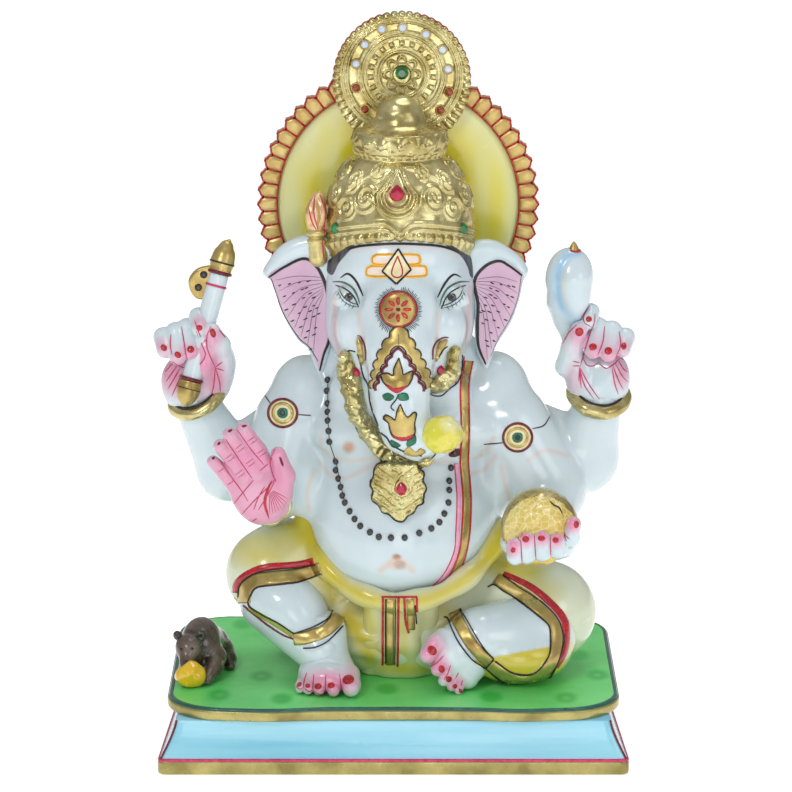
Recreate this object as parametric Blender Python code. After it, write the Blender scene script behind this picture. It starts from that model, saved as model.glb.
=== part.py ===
"""Seated four-armed Ganesha idol in painted marble, with gilding and set glass stones.

Frame: metres, +Z up, origin at the centre of the plinth's underside. The figure faces -Y, so its
own right hand is at -X. Places and sizes below are written in millimetres of the 457 mm tall
design, and scaled by HEIGHT. Each carved element is its own solid, and a later element is cut
back from the earlier ones that it meets, by the width of a glue line.
"""

import math

import bmesh
import bpy
from mathutils import Euler, Matrix, Vector
from mathutils.bvhtree import BVHTree

# Driving dimensions.
HEIGHT = 0.457
DESIGN_HEIGHT = 457.0
UNIT = HEIGHT / DESIGN_HEIGHT

PLINTH_FOOT = (146.5, 106.0)
PLINTH_NECK_SCALE = 0.92
PLINTH_FOOT_HEIGHT = 9.0
PLINTH_TOP = 33.0
SLAB = (140.4, 100.0)
SLAB_CORNER = 36.0
SLAB_TOP = 41.0
CENTRE_X = 4.0
HALO_CENTRE = (3.0, 333.0)
HALO_RADIUS = 77.0
HALO_BORDER_RADIUS = 90.0
HALO_TEETH = 58
HALO_TOOTH_ROOT = 87.3
HALO_Y = (38.0, 47.0)
DISC_RADIUS = 43.5
DISC_FRONT = 28.0
CROWN_FOOT = 300.0
CROWN_TOP = 374.0
CROWN_FLATTENING = 0.86
BRACELET_TUBE = 3.6
HAND_MIDDLE = 128.4
GLUE_LINE = 0.36

# Body landmarks: (x, y, z).
RIGHT_ELBOW_REAR = (-104, 8, 168)
LEFT_ELBOW_REAR = (120, 8, 176)
RIGHT_WRIST_REAR = (-126, -4, 214)
LEFT_WRIST_REAR = (131, -4, 214)
RIGHT_WRIST_FRONT = (-82, -57, 157)
LEFT_WRIST_FRONT = (97, -48, 140)
RIGHT_KNEE = (-78, -10, 103)
LEFT_KNEE = (97, -12, 78)
AXE_FOOT = (-131, -19, 218)
AXE_HEAD = (-106.5, -10, 305)

COLOURS = {
    "marble": ((0.84, 0.88, 0.88), 0.22, 0.0),
    "blue_paint": ((0.42, 0.70, 0.80), 0.3, 0.0),
    "green_paint": ((0.25, 0.68, 0.30), 0.3, 0.0),
    "yellow_paint": ((0.80, 0.76, 0.30), 0.25, 0.0),
    "gold_leaf": ((0.72, 0.56, 0.22), 0.3, 1.0),
    "brown_paint": ((0.13, 0.09, 0.07), 0.3, 0.0),
    "sweet_paint": ((0.85, 0.68, 0.08), 0.3, 0.0),
    "ruby_glass": ((0.75, 0.02, 0.15), 0.05, 0.0),
    "emerald_glass": ((0.0, 0.38, 0.18), 0.05, 0.0),
}

solids = []
whole_shapes = {}


def point(place):
    return Vector(place) * UNIT


def clear_scene():
    for old in list(bpy.data.objects):
        bpy.data.objects.remove(old)


def make_material(name):
    colour, roughness, metallic = COLOURS[name]
    material = bpy.data.materials.new(name)
    material.use_nodes = True
    shader = material.node_tree.nodes["Principled BSDF"]
    shader.inputs["Base Color"].default_value = (*colour, 1.0)
    shader.inputs["Roughness"].default_value = roughness
    shader.inputs["Metallic"].default_value = metallic
    return material


# Shapes that go into one bmesh. Each is closed, and overlapping ones are blended afterwards.


def ball(radii, centre, turn=(0, 0, 0), segments=18, rings=10):
    """An ellipsoid, as a function that adds it to a bmesh. Turn is in degrees about X, Y and Z."""

    def add(bm):
        spin = Euler([math.radians(angle) for angle in turn]).to_matrix().to_4x4()
        stretch = Matrix.Diagonal((*(point(radii)), 1.0))
        place = Matrix.Translation(point(centre)) @ spin @ stretch
        bmesh.ops.create_uvsphere(bm, u_segments=segments, v_segments=rings, radius=1, matrix=place)

    return add


def limb(start, end, start_radius, end_radius, segments=14, rings=8):
    """A tapered rod with round ends."""

    def add(bm):
        low, high = point(start), point(end)
        turn = (high - low).to_track_quat("Z", "Y").to_matrix()
        made = bmesh.ops.create_uvsphere(bm, u_segments=segments, v_segments=rings, radius=1)
        for vert in made["verts"]:
            upper = vert.co.z > -0.001
            radius = end_radius if upper else start_radius
            vert.co = (high if upper else low) + turn @ vert.co * radius * UNIT

    return add


def limbs(places):
    """A chain of tapered rods through (centre, radius) pairs."""

    def add(bm):
        for (start, start_radius), (end, end_radius) in zip(places, places[1:]):
            limb(start, end, start_radius, end_radius)(bm)

    return add


def turned(profile, centre, direction=(0, 0, 1), stretch_y=1.0, steps=32):
    """A solid of revolution from (radius, height) pairs, bottom to top, both ends on the axis."""

    def add(bm):
        turn = Vector(direction).to_track_quat("Z", "Y").to_matrix().to_4x4()
        place = Matrix.Translation(point(centre)) @ turn @ Matrix.Diagonal((1, stretch_y, 1, 1))
        rings = []
        for radius, height in profile:
            if radius == 0:
                rings.append([bm.verts.new(place @ point((0, 0, height)))])
                continue
            ring = []
            for step in range(steps):
                angle = math.tau * step / steps
                spot = (radius * math.cos(angle), radius * math.sin(angle), height)
                ring.append(bm.verts.new(place @ point(spot)))
            rings.append(ring)
        for lower, upper in zip(rings, rings[1:]):
            for step in range(steps):
                following = (step + 1) % steps
                corners = [lower[step % len(lower)], lower[following % len(lower)]]
                corners += [upper[following % len(upper)], upper[step % len(upper)]]
                bm.faces.new(list(dict.fromkeys(corners)))

    return add


def prism(outline, low, high, axis="Z", top_scale=1.0):
    """An outline of (a, b) pairs made solid from low to high. The outline runs counter-clockwise,
    seen from the axis's far end."""

    def spot(a, b, height):
        return point((a, b, height)) if axis == "Z" else point((a, height, b))

    def add(bm):
        bottom = [bm.verts.new(spot(a, b, low)) for a, b in outline]
        top = [bm.verts.new(spot(a * top_scale, b * top_scale, high)) for a, b in outline]
        bm.faces.new(bottom)
        bm.faces.new(top)
        for index in range(len(outline)):
            following = (index + 1) % len(outline)
            bm.faces.new((bottom[index], bottom[following], top[following], top[index]))

    return add


def ring_plate(outer, inner, low, high):
    """A flat ring standing in the XZ plane between an outer and an inner outline of the same length."""

    def add(bm):
        loops = []
        for outline, depth in ((outer, low), (outer, high), (inner, high), (inner, low)):
            loops.append([bm.verts.new(point((x, depth, z))) for x, z in outline])
        for index, loop in enumerate(loops):
            following = loops[(index + 1) % len(loops)]
            for step in range(len(outer)):
                after = (step + 1) % len(outer)
                bm.faces.new((loop[step], loop[after], following[after], following[step]))

    return add


def hoop(centre, direction, radius, thickness, steps=18, sides=6):
    """A round bangle."""

    def add(bm):
        turn = Vector(direction).to_track_quat("Z", "Y").to_matrix().to_4x4()
        place = Matrix.Translation(point(centre)) @ turn
        rings = []
        for step in range(steps):
            angle = math.tau * step / steps
            ring = []
            for side in range(sides):
                around = math.tau * side / sides
                reach = radius + thickness * math.cos(around)
                spot = (reach * math.cos(angle), reach * math.sin(angle), thickness * math.sin(around))
                ring.append(bm.verts.new(place @ point(spot)))
            rings.append(ring)
        for step in range(steps):
            for side in range(sides):
                after, beside = (step + 1) % steps, (side + 1) % sides
                corners = (rings[step][side], rings[after][side], rings[after][beside], rings[step][beside])
                bm.faces.new(corners)

    return add


def rounded_rectangle(half_x, half_y, corner, steps=6):
    """Counter-clockwise (x, y) pairs with quarter-round corners."""
    outline = []
    for quarter, (sign_x, sign_y) in enumerate(((1, 1), (-1, 1), (-1, -1), (1, -1))):
        for step in range(steps + 1):
            angle = math.pi / 2 * (quarter + step / steps)
            x = sign_x * (half_x - corner) + corner * math.cos(angle)
            y = sign_y * (half_y - corner) + corner * math.sin(angle)
            outline.append((x, y))
    return outline


def circle(centre, radius, steps):
    """(x, z) pairs round a centre in the XZ plane."""
    spots = []
    for step in range(steps):
        angle = math.tau * step / steps
        spots.append((centre[0] + radius * math.cos(angle), centre[1] + radius * math.sin(angle)))
    return spots


# From shapes to solids.


def evaluated_mesh(piece):
    graph = bpy.context.evaluated_depsgraph_get()
    graph.update()
    return bpy.data.meshes.new_from_object(piece.evaluated_get(graph))


def settle(piece):
    """Makes the modifiers' result the piece's own mesh, so that its neighbours meet its true surface."""
    mesh = evaluated_mesh(piece)
    piece.modifiers.clear()
    piece.data = mesh


def keep_largest_body(mesh):
    """Drops the chips that a cut leaves beside the main body."""
    bm = bmesh.new()
    bm.from_mesh(mesh)
    unseen, bodies = set(bm.verts), []
    while unseen:
        queue, body = [unseen.pop()], []
        while queue:
            vert = queue.pop()
            body.append(vert)
            for edge in vert.link_edges:
                other = edge.other_vert(vert)
                if other in unseen:
                    unseen.remove(other)
                    queue.append(other)
        bodies.append(body)
    bodies.sort(key=len)
    for body in bodies[:-1]:
        bmesh.ops.delete(bm, geom=body, context="VERTS")
    if bm.calc_volume(signed=True) < 0:
        bmesh.ops.reverse_faces(bm, faces=bm.faces)
    bm.to_mesh(mesh)
    bm.free()


def box_of(piece):
    corners = [vert.co for vert in piece.data.vertices]
    low = Vector([min(corner[axis] for corner in corners) for axis in range(3)])
    high = Vector([max(corner[axis] for corner in corners) for axis in range(3)])
    return low, high


def boxes_meet(first, second):
    reach = 2 * GLUE_LINE * UNIT
    (low_a, high_a), (low_b, high_b) = box_of(first), box_of(second)
    return all(low_a[k] - reach < high_b[k] and low_b[k] - reach < high_a[k] for k in range(3))


def swollen_copy(piece):
    """The neighbour's whole shape, as it was before its own cuts, with its skin moved out by the
    glue line. That shape has no thin wedges, so every point of its skin moves cleanly outwards."""
    bm = bmesh.new()
    bm.from_mesh(whole_shapes[piece.name])
    bm.normal_update()
    moved = {vert: vert.co + vert.normal * GLUE_LINE * UNIT for vert in bm.verts}
    for vert, place in moved.items():
        vert.co = place
    mesh = bpy.data.meshes.new(piece.name + "_cutter")
    bm.to_mesh(mesh)
    bm.free()
    cutter = bpy.data.objects.new(mesh.name, mesh)
    cutter.hide_render = True
    cutter.display_type = "WIRE"
    bpy.context.scene.collection.objects.link(cutter)
    return cutter


def skins_cross(first, second):
    trees = []
    for piece in (first, second):
        bm = bmesh.new()
        bm.from_mesh(piece.data)
        trees.append(BVHTree.FromBMesh(bm))
        bm.free()
    return bool(trees[0].overlap(trees[1]))


def cut(piece, cutter, solver="EXACT"):
    if not skins_cross(piece, cutter):
        bpy.data.objects.remove(cutter)
        return
    modifier = piece.modifiers.new("cut", "BOOLEAN")
    modifier.operation = "DIFFERENCE"
    modifier.solver = solver
    modifier.object = cutter
    piece.modifiers.new("facets", "TRIANGULATE")
    settle(piece)
    bpy.data.objects.remove(cutter)


def new_object(name, shapes):
    bm = bmesh.new()
    for shape in shapes:
        shape(bm)
    bm.normal_update()
    bmesh.ops.recalc_face_normals(bm, faces=bm.faces)
    mesh = bpy.data.meshes.new(name)
    bm.to_mesh(mesh)
    bm.free()
    piece = bpy.data.objects.new(name, mesh)
    bpy.context.scene.collection.objects.link(piece)
    return piece


def make(name, colour, *shapes, grain=None, bevel=None, hollows=(), triangles=300):
    """One solid. Grain blends overlapping shapes on a grid of that size and thins the result to about
    that many triangles, bevel rounds hard edges, and hollows are shapes cut out of it."""
    piece = new_object(name, shapes)
    piece.data.materials.append(materials[colour])
    if grain:
        blend = piece.modifiers.new("blend", "REMESH")
        blend.mode = "VOXEL"
        blend.voxel_size = grain * UNIT
        soften = piece.modifiers.new("soften", "SMOOTH")
        soften.factor = 0.5
        soften.iterations = 3
        settle(piece)
        thin = piece.modifiers.new("thin", "DECIMATE")
        thin.ratio = min(1.0, triangles / (2 * len(piece.data.polygons)))
        relax = piece.modifiers.new("relax", "SMOOTH")
        relax.factor = 0.3
        relax.iterations = 2
    if bevel:
        rounding = piece.modifiers.new("rounding", "BEVEL")
        rounding.width = bevel * UNIT
        rounding.segments = 2
    piece.modifiers.new("facets", "TRIANGULATE")
    settle(piece)
    for hollow in hollows:
        cut(piece, new_object(name + "_hollow", [hollow]))
    whole_shapes[name] = piece.data.copy()
    for neighbour in solids:
        if boxes_meet(piece, neighbour):
            # EXACT removes the whole of the right rear bracelet where it meets its hand.
            cut(piece, swollen_copy(neighbour), solver="MANIFOLD")
    keep_largest_body(piece.data)
    if not piece.data.materials:
        piece.data.materials.append(materials[colour])
    piece.data.shade_smooth()
    piece.data.set_sharp_from_angle(angle=math.radians(35))
    solids.append(piece)
    return piece


# The idol, from the ground up. What is made first stays whole.


def base():
    foot = rounded_rectangle(*PLINTH_FOOT, 3.0, 2)
    foot_band = prism(foot, 0.0, PLINTH_FOOT_HEIGHT)
    make("plinth_foot", "gold_leaf", foot_band)
    flare = prism(foot, PLINTH_FOOT_HEIGHT + GLUE_LINE, PLINTH_TOP, top_scale=PLINTH_NECK_SCALE)
    make("plinth", "blue_paint", flare)
    slab_outline = rounded_rectangle(*SLAB, SLAB_CORNER)
    make("seat_slab", "green_paint", prism(slab_outline, PLINTH_TOP + GLUE_LINE, SLAB_TOP), bevel=1.2)


def torso():
    belly = ball((62, 54, 52), (6, 2, 140))
    chest = ball((58, 42, 42), (5, 4, 190))
    back = ball((64, 30, 46), (5, 14, 200))
    right_shoulder = ball((24, 27, 30), (-55.5, 8, 211))
    left_shoulder = ball((24.5, 27, 30.5), (63.5, 8, 213))
    make("torso", "marble", belly, chest, back, right_shoulder, left_shoulder, grain=6, triangles=620)


def lap():
    hips = ball((80, 46, 44), (6, 24, 80))
    front = ball((58, 40, 34), (6, -8, 68))
    make("lap_drape", "yellow_paint", hips, front, grain=6, triangles=420)
    fall = [(-22, 41.4), (22, 41.4), (26, 80), (-18, 80)]
    outline = [(x + CENTRE_X, z) for x, z in reversed(fall)]
    make("front_fall", "yellow_paint", prism(outline, -52.0, -30.0, axis="Y"), bevel=3)


def legs():
    right_thigh = limb((-32, 10, 92), RIGHT_KNEE, 33, 29)
    make("right_thigh", "yellow_paint", right_thigh)
    left_thigh = limb((40, 12, 84), LEFT_KNEE, 34, 33)
    make("left_thigh", "yellow_paint", left_thigh)
    right_shin = limb((-76, -22, 92), (-45, -50, 62), 23, 16)
    make("right_shin", "marble", right_shin)
    left_shin = limb((90, -30, 68), (54, -46, 70), 27, 21)
    left_hem = ball((36, 28, 24), (74, -47, 57))
    make("left_shin", "marble", left_shin, left_hem, grain=5, triangles=240)
    right_heel = ball((15, 15, 13), (-40, -47, 54))
    right_toes = ball((20, 16, 9), (-44, -64, 50))
    make("right_foot", "marble", right_heel, right_toes, grain=3, triangles=180)
    big_toe_side = limb((27, -60, 66), (50, -50, 72), 8, 14)
    small_toe_side = limb((41, -65, 49), (52, -54, 60), 7, 13)
    make("left_foot", "marble", big_toe_side, small_toe_side, grain=3, triangles=200)


def crown():
    side = [(47, 0), (49.3, 16), (48.8, 34), (46, 47), (40.5, 59), (33.5, 68), (28, CROWN_TOP - CROWN_FOOT)]
    profile = [(0, 0), *side, (0, CROWN_TOP - CROWN_FOOT)]
    dome = turned(profile, (CENTRE_X, 0, CROWN_FOOT), stretch_y=CROWN_FLATTENING, steps=24)
    arch = ball((36, 40, 24), (CENTRE_X, -52, 297))
    make("crown", "gold_leaf", dome, hollows=[arch])
    collar = [(0, 0), (27, 0), (29, 3), (29, 10), (26, 13.5)]
    bulb = [(17, 15), (15.5, 22), (13.5, 29), (8, 34), (0, 35.6)]
    knob = turned(collar + bulb, (CENTRE_X, 0, CROWN_TOP + GLUE_LINE), steps=18)
    make("crown_knob", "gold_leaf", knob)
    disc = circle((CENTRE_X + 1.3, DESIGN_HEIGHT - DISC_RADIUS), DISC_RADIUS, 36)
    make("crown_disc", "gold_leaf", prism(disc[::-1], DISC_FRONT, HALO_Y[0] - GLUE_LINE, axis="Y"), bevel=1.2)


def head():
    skull = ball((48, 42, 50), (CENTRE_X, 0, 298))
    cheeks = ball((43, 34, 36), (CENTRE_X, -14, 268))
    make("head", "marble", skull, cheeks, grain=5, triangles=420)
    path = [((4, -38, 280), 26), ((4, -48, 258), 22), ((5, -55, 238), 19), ((7, -59, 220), 17)]
    path += [((11, -61, 205), 15), ((20, -61, 197), 13), ((30, -59, 197), 11), ((37, -56, 203), 9)]
    make("trunk", "marble", limbs(path), grain=4, triangles=440)
    for name, side, middle, lean in (("right", -1, -54, -24), ("left", 1, 65, 15)):
        ear = ball((20, 8, 46), (middle, 2, 269), (0, lean, 0))
        make(f"{name}_ear", "marble", ear)
        root = (CENTRE_X + side * 30, -48, 268)
        tip = (CENTRE_X + side * 26, -60, 253)
        make(f"{name}_tusk", "gold_leaf", limb(root, tip, 4.2, 1.6, 8, 5))


def halo():
    plate = circle(HALO_CENTRE, HALO_RADIUS, 40)
    make("halo_plate", "yellow_paint", prism(plate[::-1], *HALO_Y, axis="Y"))
    outer = []
    for tooth in range(HALO_TEETH):
        for part, radius in ((0.0, HALO_TOOTH_ROOT), (0.5, HALO_BORDER_RADIUS)):
            angle = math.tau * (tooth + part) / HALO_TEETH
            x = HALO_CENTRE[0] + radius * math.cos(angle)
            outer.append((x, HALO_CENTRE[1] + radius * math.sin(angle)))
    inner = circle(HALO_CENTRE, HALO_RADIUS + GLUE_LINE, 2 * HALO_TEETH)
    make("halo_border", "gold_leaf", ring_plate(outer, inner, HALO_Y[0] - 1.0, HALO_Y[1]))


def axe():
    foot, top = Vector(AXE_FOOT), Vector(AXE_HEAD)
    along = (top - foot).normalized()
    length = (top - foot).length
    shaft = [(0, 14), (6, 14), (6.4, 40), (6.2, length - 12), (0, length - 12)]
    make("axe_shaft", "marble", turned(shaft, foot, along, steps=12))
    butt = [(0, -1), (3.5, 0), (6.5, 5), (6.8, 13.5), (0, 13.5)]
    make("axe_butt", "gold_leaf", turned(butt, foot, along, steps=12))
    tip = [(0, 0), (7, 0), (7.4, 7), (5.5, 16), (2.5, 24), (0, 27)]
    make("axe_tip", "gold_leaf", turned(tip, foot + along * (length - 11.5), along, steps=12))
    centre = foot + along * (length - 6.5)
    blade = [(0, -2.2), (13.5, -2.2), (13.5, 2.2), (0, 2.2)]
    keep_left = ball((16, 9, 20), centre + Vector((15, 0, -4)), (0, 16, 0))
    round_blade = turned(blade, centre - Vector((5, 0, 0)), (0, 1, 0), steps=20)
    make("axe_blade", "gold_leaf", round_blade, hollows=[keep_left])


def rear_arms():
    sides = (
        ("right", (-68, 14, 196), RIGHT_ELBOW_REAR, RIGHT_WRIST_REAR, 21.5),
        ("left", (78, 14, 196), LEFT_ELBOW_REAR, LEFT_WRIST_REAR, 23.5),
    )
    for name, shoulder, elbow, wrist, elbow_radius in sides:
        arm = limb(shoulder, elbow, 20, elbow_radius)
        make(f"rear_{name}_upper_arm", "marble", arm)
        forearm = limb(elbow, wrist, elbow_radius - 1.5, 14)
        make(f"rear_{name}_forearm", "marble", forearm)
        middle = Vector((math.copysign(HAND_MIDDLE, wrist[0]), wrist[1] - 2, wrist[2] + 23))
        hand = ball((25, 13, 26), middle)
        heel = ball((16, 12, 12), Vector(wrist) + Vector((0, 0, 8)))
        make(f"rear_{name}_hand", "marble", hand, heel, grain=3.5, triangles=180)
        direction = Vector(wrist) - Vector(elbow)
        make(f"rear_{name}_bracelet", "gold_leaf", hoop(wrist, direction, 16.5, BRACELET_TUBE))


def conch():
    body = ball((14.5, 13, 21), (109.5, -9, 289), (0, -8, 0))
    neck = limb((110, -12, 272), (116, -16, 240), 10, 6)
    make("conch", "marble", body, neck, grain=3, triangles=180)
    make("conch_tip", "gold_leaf", limb((111.5, -9, 306), (112.5, -9, 312.5), 3.6, 1.5, 8, 5))


def front_arms():
    right_arm = limb((-66, -6, 202), (-80, -14, 158), 22, 21)
    make("front_right_upper_arm", "marble", right_arm)
    left_arm = limb((75, -6, 200), (100, -14, 160), 24, 22)
    make("front_left_upper_arm", "marble", left_arm)
    right_forearm = limb((-80, -18, 152), RIGHT_WRIST_FRONT, 18, 14)
    make("front_right_forearm", "marble", right_forearm)
    left_forearm = limb((100, -20, 152), LEFT_WRIST_FRONT, 18, 14)
    make("front_left_forearm", "marble", left_forearm)


def front_hands():
    make("sweets", "sweet_paint", ball((23.5, 16, 22), (91, -68, 149), segments=14, rings=8))
    palm = ball((22, 11, 22), (-84, -68, 172), (0, -18, 0))
    fingers = ball((20, 7.5, 19), (-96, -73, 198), (10, -20, 0))
    thumb = limb((-68, -72, 176), (-66, -75, 195), 7.5, 6.5)
    make("front_right_hand", "marble", palm, fingers, thumb, grain=3.5, triangles=220)
    cup = ball((26, 19, 17), (91, -66, 136))
    thumb = limb((112, -62, 140), (112, -76, 154), 8, 6.5)
    make("front_left_hand", "marble", cup, thumb, grain=3.2, triangles=260)
    direction = Vector(RIGHT_WRIST_FRONT) - Vector((-80, -18, 152))
    make("front_right_bracelet", "gold_leaf", hoop(RIGHT_WRIST_FRONT, direction, 15.5, 3.2))


def ornaments():
    tassel = limbs([((-49, -6, 344), 5), ((-51, -8, 328), 6.5), ((-50, -10, 318), 3), ((-49, -11, 308), 7)])
    make("crown_tassel", "gold_leaf", tassel, grain=2, triangles=140)
    right = [((-31, -36, 256), 7.5), ((-30, -46, 238), 7.5), ((-24, -52, 220), 7), ((-12, -57, 203), 7)]
    right += [((2, -60, 193), 6.5), ((18, -60, 189), 4.5)]
    make("garland_right", "gold_leaf", limbs(right), grain=3, triangles=180)
    left = [((46, -36, 256), 7.5), ((41, -45, 242), 7), ((34, -51, 229), 5)]
    make("garland_left", "gold_leaf", limbs(left), grain=3, triangles=110)
    make("pendant", "gold_leaf", ball((15.5, 5, 18.5), (5.3, -55, 168.5), (-12, 0, 0), 16, 8))
    make("trunk_sweet", "sweet_paint", ball((13.5, 12, 14), (31, -68, 209.5), segments=14, rings=8))


def mouse():
    body = ball((15, 20, 17.5), (-120, -22, 58))
    rump = ball((13, 12, 12), (-116, -8, 53))
    snout = limb((-125, -38, 59), (-129, -51, 53), 10, 5)
    make("mouse", "brown_paint", body, rump, snout, grain=3, triangles=220)
    make("mouse_sweet", "sweet_paint", ball((11, 8, 8), (-126, -54, 48), segments=12, rings=7))


def stones():
    settings = (
        ("crown_ruby", "ruby_glass", (2.2, -38.8, 355), (4.2, 3, 5.6)),
        ("crown_right_emerald", "emerald_glass", (-36, -26.6, 330), (2.6, 2.6, 3.2)),
        ("crown_left_emerald", "emerald_glass", (43, -27.4, 330), (2.6, 2.6, 3.2)),
        ("disc_emerald", "emerald_glass", (5.3, 27, 419), (3.2, 2.4, 3.2)),
        ("pendant_ruby", "ruby_glass", (5, -60.5, 172), (2.6, 2.2, 3.2)),
        ("garland_right_ruby", "ruby_glass", (-23.5, -53.5, 240), (2.2, 3.2, 2.8)),
        ("garland_left_ruby", "ruby_glass", (33, -54, 242), (2.2, 3.2, 2.8)),
    )
    for name, colour, place, radii in settings:
        make(name, colour, ball(radii, place, segments=8, rings=5))


clear_scene()
materials = {name: make_material(name) for name in COLOURS}
base()
torso()
lap()
legs()
crown()
head()
halo()
axe()
conch()
rear_arms()
front_arms()
front_hands()
ornaments()
mouse()
stones()
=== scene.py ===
import math

import bpy
import numpy as np
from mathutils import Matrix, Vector
from mathutils.bvhtree import BVHTree
from mathutils.geometry import delaunay_2d_cdt


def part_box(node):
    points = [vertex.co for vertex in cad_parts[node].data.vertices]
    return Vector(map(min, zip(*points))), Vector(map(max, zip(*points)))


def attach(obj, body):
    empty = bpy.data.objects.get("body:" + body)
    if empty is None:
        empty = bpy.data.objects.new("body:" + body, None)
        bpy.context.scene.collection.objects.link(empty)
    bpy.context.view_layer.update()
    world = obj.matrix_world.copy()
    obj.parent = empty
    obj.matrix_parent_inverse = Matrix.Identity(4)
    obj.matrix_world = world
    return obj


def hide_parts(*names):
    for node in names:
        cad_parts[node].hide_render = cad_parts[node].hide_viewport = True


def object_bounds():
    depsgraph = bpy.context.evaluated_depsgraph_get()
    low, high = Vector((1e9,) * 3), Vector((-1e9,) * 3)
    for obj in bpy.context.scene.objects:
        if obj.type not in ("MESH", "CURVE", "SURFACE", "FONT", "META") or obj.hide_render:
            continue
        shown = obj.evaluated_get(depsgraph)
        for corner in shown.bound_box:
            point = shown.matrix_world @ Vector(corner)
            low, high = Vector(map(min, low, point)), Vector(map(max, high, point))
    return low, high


# A painted marble Ganesha on a carved seat. Shapes are sculpted in millimetres as fields of
# distance, meshed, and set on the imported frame. Painted marks are thin raised strokes laid on them.

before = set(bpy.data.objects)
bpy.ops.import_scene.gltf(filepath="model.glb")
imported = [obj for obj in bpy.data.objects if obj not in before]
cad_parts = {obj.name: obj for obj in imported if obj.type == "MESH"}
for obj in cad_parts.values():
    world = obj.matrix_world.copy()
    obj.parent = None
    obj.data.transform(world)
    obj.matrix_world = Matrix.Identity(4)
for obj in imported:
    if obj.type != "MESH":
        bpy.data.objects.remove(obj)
cad_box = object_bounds()

CAD_HEIGHT = 457.0
PLINTH_LOW, PLINTH_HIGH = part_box("plinth_foot")
BASE = np.array([(PLINTH_LOW.x + PLINTH_HIGH.x) / 2, (PLINTH_LOW.y + PLINTH_HIGH.y) / 2, cad_box[0].z])
UNIT = (cad_box[1].z - cad_box[0].z) / CAD_HEIGHT

# The painter's eye and the lens of the camera there. Painted marks are laid out on an upright plane, PLANE_Y,
# and carried to the surfaces along the lines of sight from the eye.
VIEWPOINT = np.array([1.6, -2400.0, 792.1])
VIEW_PITCH = 13.487
LENS = 176.9
PLANE_Y = -60.0
COARSE = 1.0


def middle(node):
    """The centre of a CAD node, in the figure's millimetres."""
    low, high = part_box(node)
    return ((np.array(low) + np.array(high)) / 2 - BASE) / UNIT


def at(x, z, y):
    """The point at depth y on the line of sight through (x, z) of the painter's plane."""
    t = (y - VIEWPOINT[1]) / (PLANE_Y - VIEWPOINT[1])
    return np.array([VIEWPOINT[0] + (x - VIEWPOINT[0]) * t, y, VIEWPOINT[2] + (z - VIEWPOINT[2]) * t])


def seen(points):
    """Where points fall on the painter's plane, as arrays x and z."""
    t = (PLANE_Y - VIEWPOINT[1]) / (points[:, 1] - VIEWPOINT[1])
    return (VIEWPOINT[0] + (points[:, 0] - VIEWPOINT[0]) * t,
            VIEWPOINT[2] + (points[:, 2] - VIEWPOINT[2]) * t)


def linear(text):
    """A hex colour as linear red, green and blue."""
    values = [int(text[i:i + 2], 16) / 255 for i in (1, 3, 5)]
    return tuple(v / 12.92 if v <= 0.04045 else ((v + 0.055) / 1.055) ** 2.4 for v in values)


# ---------------------------------------------------------------- sculpting

def smooth_min(a, b, k):
    """The smaller of two distances, with a fillet of about k where they meet."""
    if k <= 0:
        return np.minimum(a, b)
    h = np.maximum(k - np.abs(a - b), 0) / k
    return np.minimum(a, b) - h * h * k * 0.25


def turn_matrix(degrees):
    """Rotation by (x, y, z) degrees, x first."""
    ax, ay, az = [math.radians(v) for v in degrees]
    rx = np.array([[1, 0, 0], [0, math.cos(ax), -math.sin(ax)], [0, math.sin(ax), math.cos(ax)]])
    ry = np.array([[math.cos(ay), 0, math.sin(ay)], [0, 1, 0], [-math.sin(ay), 0, math.cos(ay)]])
    rz = np.array([[math.cos(az), -math.sin(az), 0], [math.sin(az), math.cos(az), 0], [0, 0, 1]])
    return rz @ ry @ rx


def spline(points, step=1.0, closed=False):
    """Points a step apart on a smooth curve through the given ones."""
    p = np.array(points, float)
    if len(p) < 3:
        n = max(2, int(np.linalg.norm(p[1] - p[0]) / step) + 1)
        return p[0] + (p[1] - p[0]) * np.linspace(0, 1, n)[:, None]
    if closed:
        p = np.vstack([p[-1], p, p[0], p[1]])
    else:
        p = np.vstack([2 * p[0] - p[1], p, 2 * p[-1] - p[-2]])
    out = []
    for a, b, c, d in zip(p[:-3], p[1:-2], p[2:-1], p[3:]):
        n = max(2, int(np.linalg.norm(c - b) / step + 0.999))
        t = (np.arange(n) / n)[:, None]
        out.append(0.5 * (2 * b + (c - a) * t + (2 * a - 5 * b + 4 * c - d) * t ** 2
                          + (3 * b - a - 3 * c + d) * t ** 3))
    if not closed:
        out.append(p[-2][None])
    return np.vstack(out)


def polygon_distance(x, z, outline):
    """Signed distance in a plane from a closed outline, negative inside."""
    best = np.full(np.broadcast(x, z).shape, 1e9, np.float32)
    inside = np.zeros(best.shape, bool)
    for (ax, az), (bx, bz) in zip(outline, np.roll(outline, -1, axis=0)):
        ex, ez = bx - ax, bz - az
        t = np.clip(((x - ax) * ex + (z - az) * ez) / (ex * ex + ez * ez + 1e-12), 0, 1)
        best = np.minimum(best, (x - ax - t * ex) ** 2 + (z - az - t * ez) ** 2)
        crosses = ((az > z) != (bz > z)) & (x < ex * (z - az) / (ez if abs(ez) > 1e-12 else 1e-12) + ax)
        inside ^= crosses
    return np.where(inside, -1, 1) * np.sqrt(best)


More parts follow.
